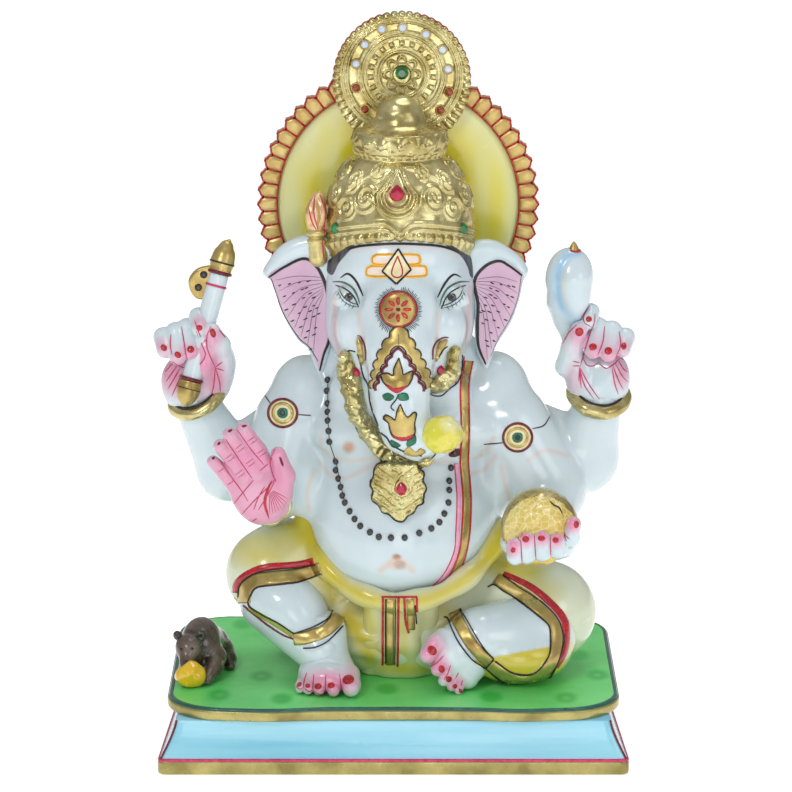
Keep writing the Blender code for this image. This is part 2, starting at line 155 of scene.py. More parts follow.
class Clay:
    """A block of space on a grid, in millimetres, that soft forms are added to and cut from."""

    def __init__(self, low, high, grain):
        self.grain = grain * COARSE
        self.low = np.array(low, float) - 3 * self.grain
        counts = np.ceil((np.array(high, float) - self.low) / self.grain).astype(int) + 4
        self.axes = [(self.low[i] + self.grain * np.arange(counts[i])).astype(np.float32) for i in range(3)]
        self.d = np.full(counts, 50.0, np.float32)

    def window(self, low, high):
        """The part of the grid inside a box: its slices, and its coordinates as open arrays."""
        cuts = []
        for i in range(3):
            first = int(np.clip((low[i] - self.low[i]) / self.grain, 0, len(self.axes[i]) - 1))
            last = int(np.clip((high[i] - self.low[i]) / self.grain + 2, 1, len(self.axes[i])))
            cuts.append(slice(first, max(last, first + 1)))
        grid = np.ix_(*[self.axes[i][cuts[i]] for i in range(3)])
        return tuple(cuts), grid

    def merge(self, cuts, d, blend, mode):
        """Adds or cuts the form whose distances are d, with a fillet of about blend."""
        now = self.d[cuts]
        if mode == "add":
            self.d[cuts] = smooth_min(now, d, blend)
        else:
            self.d[cuts] = -smooth_min(-now, d, blend)

    def ball(self, centre, radii, blend=0.0, turn=(0, 0, 0), mode="add"):
        """An ellipsoid, turned by degrees."""
        c, r = np.array(centre, float), np.array(radii, float)
        reach = r.max() + blend + 2 * self.grain
        cuts, (x, y, z) = self.window(c - reach, c + reach)
        m = turn_matrix(turn).T
        p = [m[i, 0] * (x - c[0]) + m[i, 1] * (y - c[1]) + m[i, 2] * (z - c[2]) for i in range(3)]
        k0 = np.sqrt(sum((p[i] / r[i]) ** 2 for i in range(3)))
        k1 = np.sqrt(sum((p[i] / r[i] ** 2) ** 2 for i in range(3))) + 1e-6
        self.merge(cuts, (k0 * (k0 - 1) / k1).astype(np.float32), blend, mode)

    def limb(self, a, b, ra, rb, blend=0.0, flat=1.0, mode="add"):
        """A tapered round bar from a to b. flat above 1 thins it front to back."""
        a, b = np.array(a, float), np.array(b, float)
        reach = max(ra, rb) + blend + 2 * self.grain
        cuts, (x, y, z) = self.window(np.minimum(a, b) - reach, np.maximum(a, b) + reach)
        e = b - a
        px, py, pz = x - a[0], y - a[1], z - a[2]
        t = np.clip((px * e[0] + py * e[1] + pz * e[2]) / (e @ e + 1e-9), 0, 1)
        d = np.sqrt((px - t * e[0]) ** 2 + ((py - t * e[1]) * flat) ** 2 + (pz - t * e[2]) ** 2)
        self.merge(cuts, ((d - (ra + (rb - ra) * t)) / flat ** 0.5).astype(np.float32), blend, mode)

    def chain(self, beads, blend=2.0, flat=1.0, mode="add"):
        """Bars through beads, each (x, y, z, radius)."""
        for a, b in zip(beads[:-1], beads[1:]):
            self.limb(a[:3], b[:3], a[3], b[3], blend, flat, mode)

    def leaf(self, outline, depth, half, edge, blend=0.0, mode="add"):
        """A sheet with this outline in the plane of x and z. Its middle lies at depth(x, z), and half is half
        its thickness."""
        low = outline.min(0) - blend - 3 * self.grain
        high = outline.max(0) + blend + 3 * self.grain
        cuts, (x, y, z) = self.window((low[0], -200, low[1]), (high[0], 200, high[1]))
        flat = polygon_distance(x, z, outline)
        thick = np.abs(y - depth(x, z)) - half
        a, b = flat + edge, thick + edge
        d = np.sqrt(np.maximum(a, 0) ** 2 + np.maximum(b, 0) ** 2) + np.minimum(np.maximum(a, b), 0) - edge
        self.merge(cuts, d.astype(np.float32), blend, mode)

    def turned(self, centre, profile, depth_scale=1.0, blend=0.0, mode="add"):
        """A form turned on an upright axis. profile is (radius, height) from the bottom up."""
        profile = np.array(profile, float)
        reach = profile[:, 0].max() + 4 * self.grain
        cuts, (x, y, z) = self.window((centre[0] - reach, centre[1] - reach, profile[0, 1] - 3 * self.grain),
                                      (centre[0] + reach, centre[1] + reach, profile[-1, 1] + 3 * self.grain))
        radius = np.sqrt((x - centre[0]) ** 2 + ((y - centre[1]) / depth_scale) ** 2)
        side = (radius - np.interp(z, profile[:, 1], profile[:, 0])) * 0.8
        d = np.maximum(side, np.maximum(profile[0, 1] - z, z - profile[-1, 1]))
        self.merge(cuts, d.astype(np.float32), blend, mode)

    def mesh(self, relax=1):
        """The surface as points and four-sided faces, smoothed relax times."""
        for side in (0, -1):
            for slab in (self.d[side], self.d[:, side], self.d[:, :, side]):
                np.maximum(slab, self.grain, out=slab)
        points, faces = surface_net(self.d)
        points = self.low + points * self.grain
        for _ in range(relax):
            points = relaxed(points, faces, 0.5)
        return points, faces


def surface_net(d):
    """One point in each cell that the surface crosses, and a four-sided face for each crossed edge."""
    inside = d < 0
    n = np.array(d.shape) - 1
    count = np.zeros(n, np.int8)
    for i in (0, 1):
        for j in (0, 1):
            for k in (0, 1):
                count += inside[i:n[0] + i, j:n[1] + j, k:n[2] + k]
    cells = np.argwhere((count > 0) & (count < 8))
    number = np.full(n, -1, np.int32)
    number[tuple(cells.T)] = np.arange(len(cells))
    total, hits = np.zeros((len(cells), 3)), np.zeros(len(cells))
    for axis in range(3):
        others = [i for i in range(3) if i != axis]
        for a in (0, 1):
            for b in (0, 1):
                start = np.zeros(3, int)
                start[others[0]], start[others[1]] = a, b
                end = start.copy()
                end[axis] = 1
                f0, f1 = d[tuple((cells + start).T)], d[tuple((cells + end).T)]
                cross = (f0 < 0) != (f1 < 0)
                t = f0[cross] / (f0[cross] - f1[cross])
                spot = np.repeat(start[None].astype(float), cross.sum(), 0)
                spot[:, axis] = t
                total[cross] += spot
                hits[cross] += 1
    points = cells + total / hits[:, None]
    faces = []
    for axis in range(3):
        u, v = [(1, 2), (2, 0), (0, 1)][axis]
        low = [slice(None)] * 3
        high = [slice(None)] * 3
        low[axis], high[axis] = slice(0, -1), slice(1, None)
        first, second = inside[tuple(low)], inside[tuple(high)]
        for edges, flip in ((np.argwhere(first & ~second), False), (np.argwhere(~first & second), True)):
            corners = []
            for du, dv in ((0, 0), (-1, 0), (-1, -1), (0, -1)):
                cell = edges.copy()
                cell[:, u] += du
                cell[:, v] += dv
                corners.append(number[tuple(cell.T)])
            quad = np.stack(corners, 1)
            faces.append(quad[:, ::-1] if flip else quad)
    return points, np.vstack(faces)


def relaxed(points, faces, share):
    """Points moved part of the way to the middle of their neighbours."""
    ends = np.vstack([faces[:, [i, (i + 1) % 4]] for i in range(4)])
    count = np.bincount(ends[:, 0], minlength=len(points))
    middle_of = np.stack([np.bincount(ends[:, 0], weights=points[ends[:, 1], i], minlength=len(points))
                          for i in range(3)], 1) / np.maximum(count, 1)[:, None]
    return points + (middle_of - points) * share


def normals_of(points, faces):
    """The unit normal at each point of a mesh."""
    a, b, c = points[faces[:, 0]], points[faces[:, 1]], points[faces[:, 2]]
    d = points[faces[:, -1]]
    flat = np.cross(c - a, d - b) if faces.shape[1] == 4 else np.cross(b - a, c - a)
    out = np.stack([sum(np.bincount(faces[:, j], weights=flat[:, i], minlength=len(points))
                        for j in range(faces.shape[1])) for i in range(3)], 1)
    return out / (np.linalg.norm(out, axis=1)[:, None] + 1e-12)


def lumps(points, size, seed, waves=14):
    """Soft random relief from -1 to 1, the same each run."""
    draw = np.random.default_rng(seed)
    total = np.zeros(len(points))
    for _ in range(waves):
        way = draw.normal(size=3)
        way /= np.linalg.norm(way)
        wave = size * draw.uniform(0.7, 1.6)
        total += np.sin(points @ way * (2 * math.pi / wave) + draw.uniform(0, 6.28))
    return total / math.sqrt(waves / 2)


def ridge(distance, width):
    """A rounded ridge: 1 where distance is 0, falling away over width."""
    return np.exp(-(distance / width) ** 2)


# ---------------------------------------------------------------- materials

def node(tree, kind, **values):
    """A shader node. values that name an input set its default, and the rest set attributes."""
    made = tree.nodes.new(kind)
    for key, value in values.items():
        if isinstance(value, (int, float, tuple)) and key in made.inputs:
            made.inputs[key].default_value = value
        else:
            setattr(made, key, value)
    return made


def finish_of(name, light, dark, grain=30.0, stretch=(1, 1, 1), rough=(0.2, 0.35), metallic=0.0, bump=0.0,
              bump_size=300.0, coat=0.0, subsurface=0.0, washed=False, cells=0.0, cracks=None, clear=0.0,
              contrast=(0.35, 0.65)):
    """A material of two colours mixed by noise, with uneven gloss, fine relief and, if washed, tints."""
    made = bpy.data.materials.new(name)
    made.use_nodes = True
    tree = made.node_tree
    tree.nodes.clear()
    out = node(tree, "ShaderNodeOutputMaterial")
    surface = node(tree, "ShaderNodeBsdfPrincipled")
    tree.links.new(surface.outputs["BSDF"], out.inputs["Surface"])
    where = node(tree, "ShaderNodeTexCoord")
    mapping = node(tree, "ShaderNodeMapping")
    mapping.inputs["Scale"].default_value = stretch
    tree.links.new(where.outputs["Object"], mapping.inputs["Vector"])
    clouds = node(tree, "ShaderNodeTexNoise", Scale=grain, Detail=5.0, Roughness=0.55)
    tree.links.new(mapping.outputs["Vector"], clouds.inputs["Vector"])
    ramp = node(tree, "ShaderNodeValToRGB")
    ramp.color_ramp.elements[0].position, ramp.color_ramp.elements[1].position = contrast
    ramp.color_ramp.elements[0].color = (*linear(dark), 1)
    ramp.color_ramp.elements[1].color = (*linear(light), 1)
    tree.links.new(clouds.outputs["Fac"], ramp.inputs["Fac"])
    colour = ramp.outputs["Color"]
    if cracks:
        web = node(tree, "ShaderNodeTexVoronoi", Scale=cells, feature="DISTANCE_TO_EDGE")
        tree.links.new(mapping.outputs["Vector"], web.inputs["Vector"])
        thin = node(tree, "ShaderNodeMapRange")
        thin.inputs["From Max"].default_value = 0.09
        thin.inputs["To Min"].default_value = 0.35
        tree.links.new(web.outputs["Distance"], thin.inputs["Value"])
        mix = node(tree, "ShaderNodeMix", data_type="RGBA")
        mix.inputs[6].default_value = (*linear(cracks), 1)
        tree.links.new(thin.outputs["Result"], mix.inputs[0])
        tree.links.new(colour, mix.inputs[7])
        colour = mix.outputs[2]
    if washed:
        wash = node(tree, "ShaderNodeAttribute", attribute_name="wash", attribute_type="GEOMETRY")
        mix = node(tree, "ShaderNodeMix", data_type="RGBA")
        tree.links.new(wash.outputs["Alpha"], mix.inputs[0])
        tree.links.new(colour, mix.inputs[6])
        tree.links.new(wash.outputs["Color"], mix.inputs[7])
        colour = mix.outputs[2]
    tree.links.new(colour, surface.inputs["Base Color"])
    patch = node(tree, "ShaderNodeTexNoise", Scale=grain * 2.3, Detail=3.0)
    tree.links.new(mapping.outputs["Vector"], patch.inputs["Vector"])
    gloss = node(tree, "ShaderNodeMapRange")
    gloss.inputs["From Min"].default_value, gloss.inputs["From Max"].default_value = 0.3, 0.7
    gloss.inputs["To Min"].default_value, gloss.inputs["To Max"].default_value = rough
    tree.links.new(patch.outputs["Fac"], gloss.inputs["Value"])
    tree.links.new(gloss.outputs["Result"], surface.inputs["Roughness"])
    if bump:
        fine = node(tree, "ShaderNodeTexNoise", Scale=bump_size, Detail=3.0)
        tree.links.new(where.outputs["Object"], fine.inputs["Vector"])
        height = fine.outputs["Fac"]
        if cells:
            dents = node(tree, "ShaderNodeTexVoronoi", Scale=cells, feature="SMOOTH_F1")
            tree.links.new(where.outputs["Object"], dents.inputs["Vector"])
            both = node(tree, "ShaderNodeMath", operation="ADD")
            tree.links.new(height, both.inputs[0])
            tree.links.new(dents.outputs["Distance"], both.inputs[1])
            height = both.outputs["Value"]
        relief = node(tree, "ShaderNodeBump", Strength=bump, Distance=0.0006)
        tree.links.new(height, relief.inputs["Height"])
        tree.links.new(relief.outputs["Normal"], surface.inputs["Normal"])
    surface.inputs["Metallic"].default_value = metallic
    surface.inputs["Coat Weight"].default_value = coat
    surface.inputs["Coat Roughness"].default_value = 0.08
    surface.inputs["Subsurface Weight"].default_value = subsurface
    surface.inputs["Subsurface Radius"].default_value = (0.9, 0.95, 1.0)
    surface.inputs["Subsurface Scale"].default_value = 0.004
    surface.inputs["Transmission Weight"].default_value = clear
    return made


MARBLE = finish_of("polished_marble", "#d6e3e9", "#c8d8de", 14, rough=(0.12, 0.24), bump=0.06, coat=0.35,
                   subsurface=0.25, washed=True)
CLOTH = finish_of("stained_marble", "#dfe4cb", "#d3dabf", 18, rough=(0.14, 0.28), bump=0.08, coat=0.35,
                  subsurface=0.2, washed=True)
GOLD = finish_of("gold_leaf", "#dcd29c", "#a8985e", 60, rough=(0.2, 0.34), metallic=0.86, bump=0.12,
                 bump_size=240, cells=120)
GOLD_PAINT = finish_of("gold_paint", "#d2bc78", "#a68d50", 45, rough=(0.24, 0.38), metallic=0.72, bump=0.15,
                       bump_size=300)
RIM_GOLD = finish_of("rim_gold", "#b8ac6c", "#887d48", 45, rough=(0.24, 0.38), metallic=0.7, bump=0.15,
                     bump_size=300)
PETAL_GOLD = finish_of("petal_gold", "#d8c07c", "#bc9c58", 90, rough=(0.28, 0.4), metallic=0.45, bump=0.15,
                       bump_size=300)
BLACK = finish_of("black_paint", "#1d1b1f", "#0d0c10", 300, rough=(0.25, 0.4), bump=0.1)
HAIR = finish_of("hair_paint", "#575b61", "#1c1e22", 260, stretch=(1, 1, 0.35), rough=(0.35, 0.5), bump=0.4)
RED = finish_of("red_paint", "#c40d22", "#9c0a1a", 200, rough=(0.18, 0.32), coat=0.3, bump=0.1)
MAROON = finish_of("maroon_paint", "#7a1228", "#5a0a20", 200, rough=(0.2, 0.35), bump=0.1)
CRIMSON = finish_of("crimson_paint", "#d23a6e", "#b62458", 220, rough=(0.2, 0.35), bump=0.1)
PINK = finish_of("pink_paint", "#eeb0cb", "#e596b8", 160, rough=(0.2, 0.35), bump=0.1)
ORANGE = finish_of("orange_paint", "#e2981c", "#d4800e", 220, rough=(0.25, 0.4), bump=0.1)
CREAM = finish_of("cream_paint", "#f4ecc6", "#e2d59a", 160, rough=(0.22, 0.36), bump=0.1)
TEAL = finish_of("dark_teal_paint", "#0f6658", "#084a42", 140, rough=(0.15, 0.3), coat=0.3, bump=0.1)
GREEN = finish_of("green_paint", "#80f08a", "#62dc70", 22, rough=(0.3, 0.42), coat=0.08, bump=0.1,
                  washed=True)
BLUE = finish_of("blue_paint", "#a2dcee", "#7cc6de", 9, stretch=(0.5, 1, 6), rough=(0.1, 0.26), coat=0.5,
                 bump=0.12, washed=True)
MOUSE = finish_of("mouse_brown", "#6a584c", "#33291f", 90, stretch=(1, 1, 0.5), rough=(0.18, 0.34), coat=0.4,
                  bump=0.3, bump_size=500, washed=True)
SWEET = finish_of("sweet_yellow", "#e0cf7c", "#d2b64e", 60, rough=(0.14, 0.28), coat=0.4, bump=0.2,
                  cells=250, cracks="#fbf3cf", subsurface=0.1, washed=True)
RUBY = finish_of("ruby_glass", "#c80440", "#96022c", 120, rough=(0.03, 0.1), coat=0.4, clear=0.1)
EMERALD = finish_of("emerald_glass", "#04823c", "#025a26", 120, rough=(0.03, 0.1), coat=0.4, clear=0.1)
CRYSTAL = finish_of("clear_stone", "#e8f1ff", "#c8d8f0", 120, rough=(0.03, 0.1), coat=0.8, clear=0.1)
AMBER = finish_of("amber_stone", "#b4461a", "#8a2c0c", 120, rough=(0.04, 0.12), coat=0.8, clear=0.1)
PINK_GOLD = finish_of("washed_gold", "#ece0a4", "#c4b06c", 60, rough=(0.24, 0.4), metallic=0.6, bump=0.2,
                      bump_size=420, washed=True)
SWEET_PLAIN = finish_of("glazed_yellow", "#ecc822", "#d6a814", 90, rough=(0.08, 0.2), coat=0.6, bump=0.15,
                        washed=True)
SLATE = finish_of("dark_stone", "#4d4c58", "#2c2b34", 140, rough=(0.05, 0.15), coat=0.7)
YELLOW_PAINT = finish_of("bright_yellow_paint", "#f2cc3c", "#e8b628", 160, rough=(0.2, 0.35))
EYE_WHITE = finish_of("eye_white", "#cdd8d6", "#bccac8", 120, rough=(0.1, 0.2), coat=0.4)
PALE_WASH = finish_of("tilak_wash", "#f0e4da", "#e9d4c8", 120, rough=(0.2, 0.3))
DARK_GREEN = finish_of("lid_green", "#5d7a66", "#40584a", 160, rough=(0.25, 0.4))
LEAF_GREEN = finish_of("leaf_green", "#1f7a5c", "#0e5a42", 160, rough=(0.2, 0.35))
GREY = finish_of("vein_grey", "#8d7a90", "#6f6076", 200, rough=(0.3, 0.45))
BEAD = finish_of("bead_brown_black", "#3a3433", "#1c191b", 300, rough=(0.2, 0.4), coat=0.4, bump=0.3)
LEAF_OLIVE = finish_of("olive_paint", "#9aa83a", "#7f9430", 120, rough=(0.2, 0.35))


# ---------------------------------------------------------------- pieces

surfaces = {}


def add_piece(name, points, faces, finish, nodes=(), slot=None, smooth=True, wash=None):
    """A piece of the figure from points in millimetres, riding on the CAD's one body."""
    mesh = bpy.data.meshes.new(name)
    world = BASE + np.asarray(points, float) * UNIT
    if isinstance(faces, np.ndarray):
        sides = faces.shape[1]
        mesh.vertices.add(len(world))
        mesh.vertices.foreach_set("co", world.astype(np.float32).ravel())
        mesh.loops.add(faces.size)
        mesh.loops.foreach_set("vertex_index", faces.astype(np.int32).ravel())
        mesh.polygons.add(len(faces))
        mesh.polygons.foreach_set("loop_start", np.arange(0, faces.size, sides, dtype=np.int32))
        mesh.update(calc_edges=True)
    else:
        mesh.from_pydata([tuple(p) for p in world], [], faces)
        mesh.update()
    mesh.validate()
    mesh.polygons.foreach_set("use_smooth", np.full(len(mesh.polygons), smooth))
    if wash is not None:
        layer = mesh.color_attributes.new("wash", "FLOAT_COLOR", "POINT")
        layer.data.foreach_set("color", np.asarray(wash, np.float32).ravel())
    made = bpy.data.objects.new(name, mesh)
    bpy.context.scene.collection.objects.link(made)
    mesh.materials.append(finish)
    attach(made, "root")
    if nodes:
        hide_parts(*nodes)
    return made


def keep_surface(name, points, faces):
    """Remembers a sculpted surface, so that strokes can be laid on it."""
    surfaces[name] = BVHTree.FromPolygons(points.tolist(), faces.tolist())


class Wash:
    """Soft colour on the points of a sculpted surface."""

    def __init__(self, points, faces):
        self.points = points
        self.x, self.z = seen(points)
        self.front = np.clip(-normals_of(points, faces)[:, 1] * 2 + 0.5, 0, 1)
        self.rgba = np.zeros((len(points), 4))

    def lay(self, weight, colour):
        weight = np.clip(weight, 0, 1)[:, None]
        rgb, a = self.rgba[:, :3], self.rgba[:, 3:]
        total = weight + a * (1 - weight)
        mixed = np.array(linear(colour)) * weight + rgb * a * (1 - weight)
        self.rgba[:, :3] = mixed / np.maximum(total, 1e-6)
        self.rgba[:, 3:] = total

    def spot(self, x, z, rx, rz, colour, strength=1.0, front=True):
        """A soft oval on the painter's plane."""
        d = np.sqrt(((self.x - x) / rx) ** 2 + ((self.z - z) / rz) ** 2)
        self.lay(np.clip(1.6 - 1.6 * d, 0, 1) * strength * (self.front if front else 1), colour)

    def line(self, points, width, colour, strength=1.0):
        """A soft line on the painter's plane."""
        curve = spline(points, 2.0)
        best = np.full(len(self.x), 1e9)
        for (ax, az), (bx, bz) in zip(curve[:-1], curve[1:]):
            ex, ez = bx - ax, bz - az
            t = np.clip(((self.x - ax) * ex + (self.z - az) * ez) / (ex * ex + ez * ez + 1e-9), 0, 1)
            best = np.minimum(best, (self.x - ax - t * ex) ** 2 + (self.z - az - t * ez) ** 2)
        self.lay(ridge(np.sqrt(best), width) * strength * self.front, colour)


# ---------------------------------------------------------------- painted strokes

def cast(targets, x, z, way):
    """The nearest surface point and normal along the line of sight, or straight down, or from behind."""
    if way == "view":
        start = VIEWPOINT
        end = np.array([x, PLANE_Y, z])
    elif way == "down":
        start, end = np.array([x, z, 500.0]), np.array([x, z, 0.0])
    else:
        start, end = np.array([x, 300.0, z]), np.array([x, 0.0, z])
    direction = Vector(end - start).normalized()
    found = None
    for name in targets:
        spot, normal, _, far = surfaces[name].ray_cast(Vector(start), direction)
        if spot is not None and (found is None or far < found[2]):
            found = (np.array(spot), np.array(normal), far)
    return found


# Across a painted stroke: shares of its width and of its lift.
STROKE_SECTION = ((-0.5, 0.15), (-0.32, 0.9), (0, 1.0), (0.32, 0.9), (0.5, 0.15))
STROKE_SINK = 0.5


def strip(targets, points, width, lift, way="view", step=1.0, taper=0.0):
    """A closed raised stroke: (points, faces) or None where the surface isn't there."""
    curve = spline(points, step)
    along = np.gradient(curve, axis=0)
    side = np.stack([-along[:, 1], along[:, 0]], 1)
    side /= np.linalg.norm(side, axis=1)[:, None] + 1e-9
    share = np.linspace(0, 1, len(curve))
    widths = width * (1 - taper * np.abs(2 * share - 1) ** 3) if taper else np.full(len(curve), float(width))
    rings = []
    for c, s, w in zip(curve, side, widths):
        centre = cast(targets, c[0], c[1], way)
        if centre is None:
            continue
        top, low = [], []
        for u, rise in STROKE_SECTION:
            p = c + s * w * u
            hit = cast(targets, p[0], p[1], way)
            if hit is None or np.linalg.norm(hit[0] - centre[0]) > 3 + 2.0 * w:
                hit = (centre[0], centre[1])
            normal = hit[1] + centre[1]
            normal /= np.linalg.norm(normal) + 1e-9
            top.append(hit[0] + normal * lift * rise)
            low.append(hit[0] - normal * STROKE_SINK)
        rings.append(top + low[::-1])
    if len(rings) < 2:
        return None
    n = 2 * len(STROKE_SECTION)
    faces = [[(i + 1) * n + j, (i + 1) * n + (j + 1) % n, i * n + (j + 1) % n, i * n + j]
             for i in range(len(rings) - 1) for j in range(n)]
    faces.append(list(range(n)))
    faces.append([(len(rings) - 1) * n + j for j in range(n)][::-1])
    return np.vstack(rings), faces


def fill(targets, outline, lift, way="view", step=1.2, crown=0.0, relief=None, closed_spline=True):
    """A closed raised patch with this outline."""
    edge = spline(outline, step, closed=True) if closed_spline else np.array(outline, float)
    if not closed_spline:
        parts = [spline([a, b], step)[:-1] for a, b in zip(edge, np.roll(edge, -1, axis=0))]
        edge = np.vstack([p for p in parts if len(p)])
    low, high = edge.min(0), edge.max(0)
    gx, gz = np.meshgrid(np.arange(low[0], high[0], step), np.arange(low[1], high[1], step))
    inner = np.stack([gx.ravel(), gz.ravel()], 1)
    inner = inner[polygon_distance(inner[:, 0], inner[:, 1], edge) < -0.55 * step]
    every = [Vector(p) for p in np.vstack([edge, inner])]
    loops = [(i, (i + 1) % len(edge)) for i in range(len(edge))]
    flat, _, triangles, *_ = delaunay_2d_cdt(every, loops, [list(range(len(edge)))], 1, 1e-5)
    flat = np.array([tuple(p) for p in flat])
    hits = [cast(targets, p[0], p[1], way) for p in flat]
    known = [i for i, h in enumerate(hits) if h is not None]
    if len(known) < 3:
        return None
    spots, ways = np.zeros((len(flat), 3)), np.zeros((len(flat), 3))
    for i, h in enumerate(hits):
        if h is None:
            h = hits[min(known, key=lambda k: np.sum((flat[k] - flat[i]) ** 2))]
        spots[i], ways[i] = h[0], h[1]
    inside = -polygon_distance(flat[:, 0], flat[:, 1], edge)
    rise = lift * np.clip(inside / 0.5 + 0.2, 0, 1) + crown * np.sqrt(np.clip(inside, 0, 4) / 4)
    if relief is not None:
        rise = rise + relief(flat, inside)
    ways /= np.linalg.norm(ways, axis=1)[:, None] + 1e-9
    count = len(flat)
    points = np.vstack([spots + ways * rise[:, None], spots - ways * 0.6])
    faces = []
    ends = {}
    for a, b, c in triangles:
        p, q, r = flat[a], flat[b], flat[c]
        turn = (q[0] - p[0]) * (r[1] - p[1]) - (q[1] - p[1]) * (r[0] - p[0])
        if turn < 0:
            b, c = c, b
        tri = (a, b, c) if way != "back" else (a, c, b)
        faces.append(list(tri))
        faces.append([tri[0] + count, tri[2] + count, tri[1] + count])
        for s, e in ((tri[0], tri[1]), (tri[1], tri[2]), (tri[2], tri[0])):
            ends[(s, e)] = True
    for s, e in ends:
        if (e, s) not in ends:
            faces.append([e, s, s + count, e + count])
    return points, faces


def oval(x, z, rx, rz, turn=0.0, count=14):
    """An ellipse in the plane of x and z, turned by degrees."""
    a = np.arange(count) * 2 * math.pi / count
    t = math.radians(turn)
    u, v = np.cos(a) * rx, np.sin(a) * rz
    return np.stack([x + u * math.cos(t) - v * math.sin(t), z + u * math.sin(t) + v * math.cos(t)], 1)


def paint(name, finish, parts, slot=None):
    """One piece holding many strokes and patches."""
    points, faces, start = [], [], 0
    for part in parts:
        if part is None:
            continue
        points.append(part[0])
        faces += [[i + start for i in face] for face in part[1]]
        start += len(part[0])
    return add_piece(name, np.vstack(points), faces, finish, slot=slot)


# ---------------------------------------------------------------- the figure

def build_body():
    clay = Clay((-152, -74, 86), (160, 54, 276), 1.25)
    clay.ball((6, 2, 140), (62, 54, 52))
    clay.ball((5, 4, 192), (58, 41, 42), 14)
    clay.ball((5, 14, 204), (64, 30, 46), 10)
    clay.ball((-26, -16, 199), (27, 20, 17), 8)
    clay.ball((40, -16, 199), (27, 20, 17), 8)
    clay.ball((4, -20, 226), (44, 24, 24), 12)
    clay.ball((4, -16, 124), (48, 40, 36), 14)
    clay.ball((-55.5, 8, 211), (24, 27, 30), 8)
    clay.ball((63.5, 8, 213), (24.5, 27, 30.5), 8)
    clay.limb((-66, -4, 202), (-78, -12, 160), 22, 21, 6)
    clay.limb((-79, -14, 156), (-82, -50, 158), 19, 12.5, 6)
    clay.ball((-54, 4, 164), (15, 26, 32), 8)
    clay.ball((67, 4, 170), (15, 26, 30), 8)
    clay.ball((4, 5, 240), (53, 25, 30), 8)
    clay.limb((75, -4, 200), (100, -12, 160), 24, 22.5, 6)
    clay.limb((100, -16, 154), (97, -50, 140), 19, 14.5, 6)
    clay.limb((-68, 14, 196), (-104, 8, 168), 18, 21, 6)
    clay.limb((-104, 8, 168), (-126, -4, 215), 21.5, 13.5, 5)
    clay.limb((78, 14, 196), (120, 8, 175), 18, 23, 6)
    clay.limb((120, 8, 176), (131, -4, 215), 23.5, 13.5, 5)
    clay.ball((4, -57, 121), (3.2, 4.5, 2.6), 2.5, mode="cut")
    points, faces = clay.mesh()
    keep_surface("body", points, faces)
    wash = Wash(points, faces)
    # The soft peach lines along the chest folds and where the arms meet the body are painted shade in those
    # creases.
    crease = "#dcb59c"
    for line in (((-45, 206), (-44.5, 198), (-36, 191), (-20, 190), (-8, 193)),
                 ((-46, 189), (-41, 182), (-32, 178), (-20, 183), (-10, 189)),
                 ((10, 192), (22, 189), (34, 189)), ((50, 191), (57, 195), (62, 204)),
                 ((48, 181), (56, 184), (63, 192)), ((-49, 184), (-52.5, 174), (-54, 166), (-52, 158)),
                 ((67, 186), (70, 172), (74, 158)), ((84, 190), (94, 196), (108, 193)),
                 ((-108, 198), (-98, 202), (-86, 199))):
        wash.line(line, 1.5, crease, 0.4)
    wash.spot(2, 127.4, 3.6, 2.8, "#8f5434", 0.95)
    wash.line(((-8, 118.5), (-3, 123), (2, 126), (7, 123), (12, 118.5)), 1.9, "#e0b294", 0.5)
    wash.spot(2, 122.5, 7, 5, "#e2b79c", 0.55)
    wash.spot(-27.7, 198.2, 5.0, 5.0, "#c98f70", 0.85)
    return add_piece("body_marble", points, faces, MARBLE, (
        "torso", "front_right_upper_arm", "front_left_upper_arm", "front_right_forearm", "front_left_forearm",
        "rear_right_upper_arm", "rear_left_upper_arm", "rear_right_forearm", "rear_left_forearm"),
        "marble", wash=wash.rgba)


TRUNK = ((4, -36, 284, 26), (4, -47, 258, 21.5), (4, -54, 238, 18.5), (5, -58.5, 222, 16.5),
         (8, -60, 209, 14.5), (16, -61, 203.5, 12.5), (26, -60, 203, 11), (34, -57, 207, 9))


def build_head():
    clay = Clay((-50, -80, 182), (60, 46, 352), 1.0)
    clay.ball((4, 0, 298), (48, 42, 50))
    clay.ball((4, -10, 266), (46.5, 34, 38), 12)
    clay.ball((4, -26, 306), (34, 20, 24), 12)
    clay.ball((-22, -33, 268), (14, 13, 17), 8)
    clay.ball((31, -33, 268), (14, 13, 17), 8)
    clay.ball((4, -20, 246), (35, 27, 26), 12)
    clay.chain(TRUNK, 5)
    for x, tilt in ((-30, -28), (38.5, 28)):
        clay.ball((x, -44, 289), (11, 6.5, 7), 7, (0, tilt, 0), mode="cut")
        clay.ball((x + 0.4, -34.5, 288.5), (9.5, 6.6, 6.0), 2.5, (0, tilt, 0))
    points, faces = clay.mesh()
    keep_surface("head", points, faces)
    wash = Wash(points, faces)
    temple = "#d9bba8"
    wash.line(((-36, 292), (-36, 272), (-33, 258), (-22, 247)), 1.5, temple, 0.6)
    wash.line(((47, 300), (46, 278), (44, 262), (36, 250)), 1.5, temple, 0.6)
    wash.line(((-22, 284), (-19.5, 270), (-19, 258)), 1.5, temple, 0.4)
    wash.line(((27, 283), (27, 268), (26, 262)), 1.5, temple, 0.4)
    wash.line(((-47, 318), (-30, 324), (0, 326), (30, 325), (50, 316)), 3.0, "#dfc7c2", 0.45)
    return add_piece("head_marble", points, faces, MARBLE, ("head", "trunk"), "marble", wash=wash.rgba)


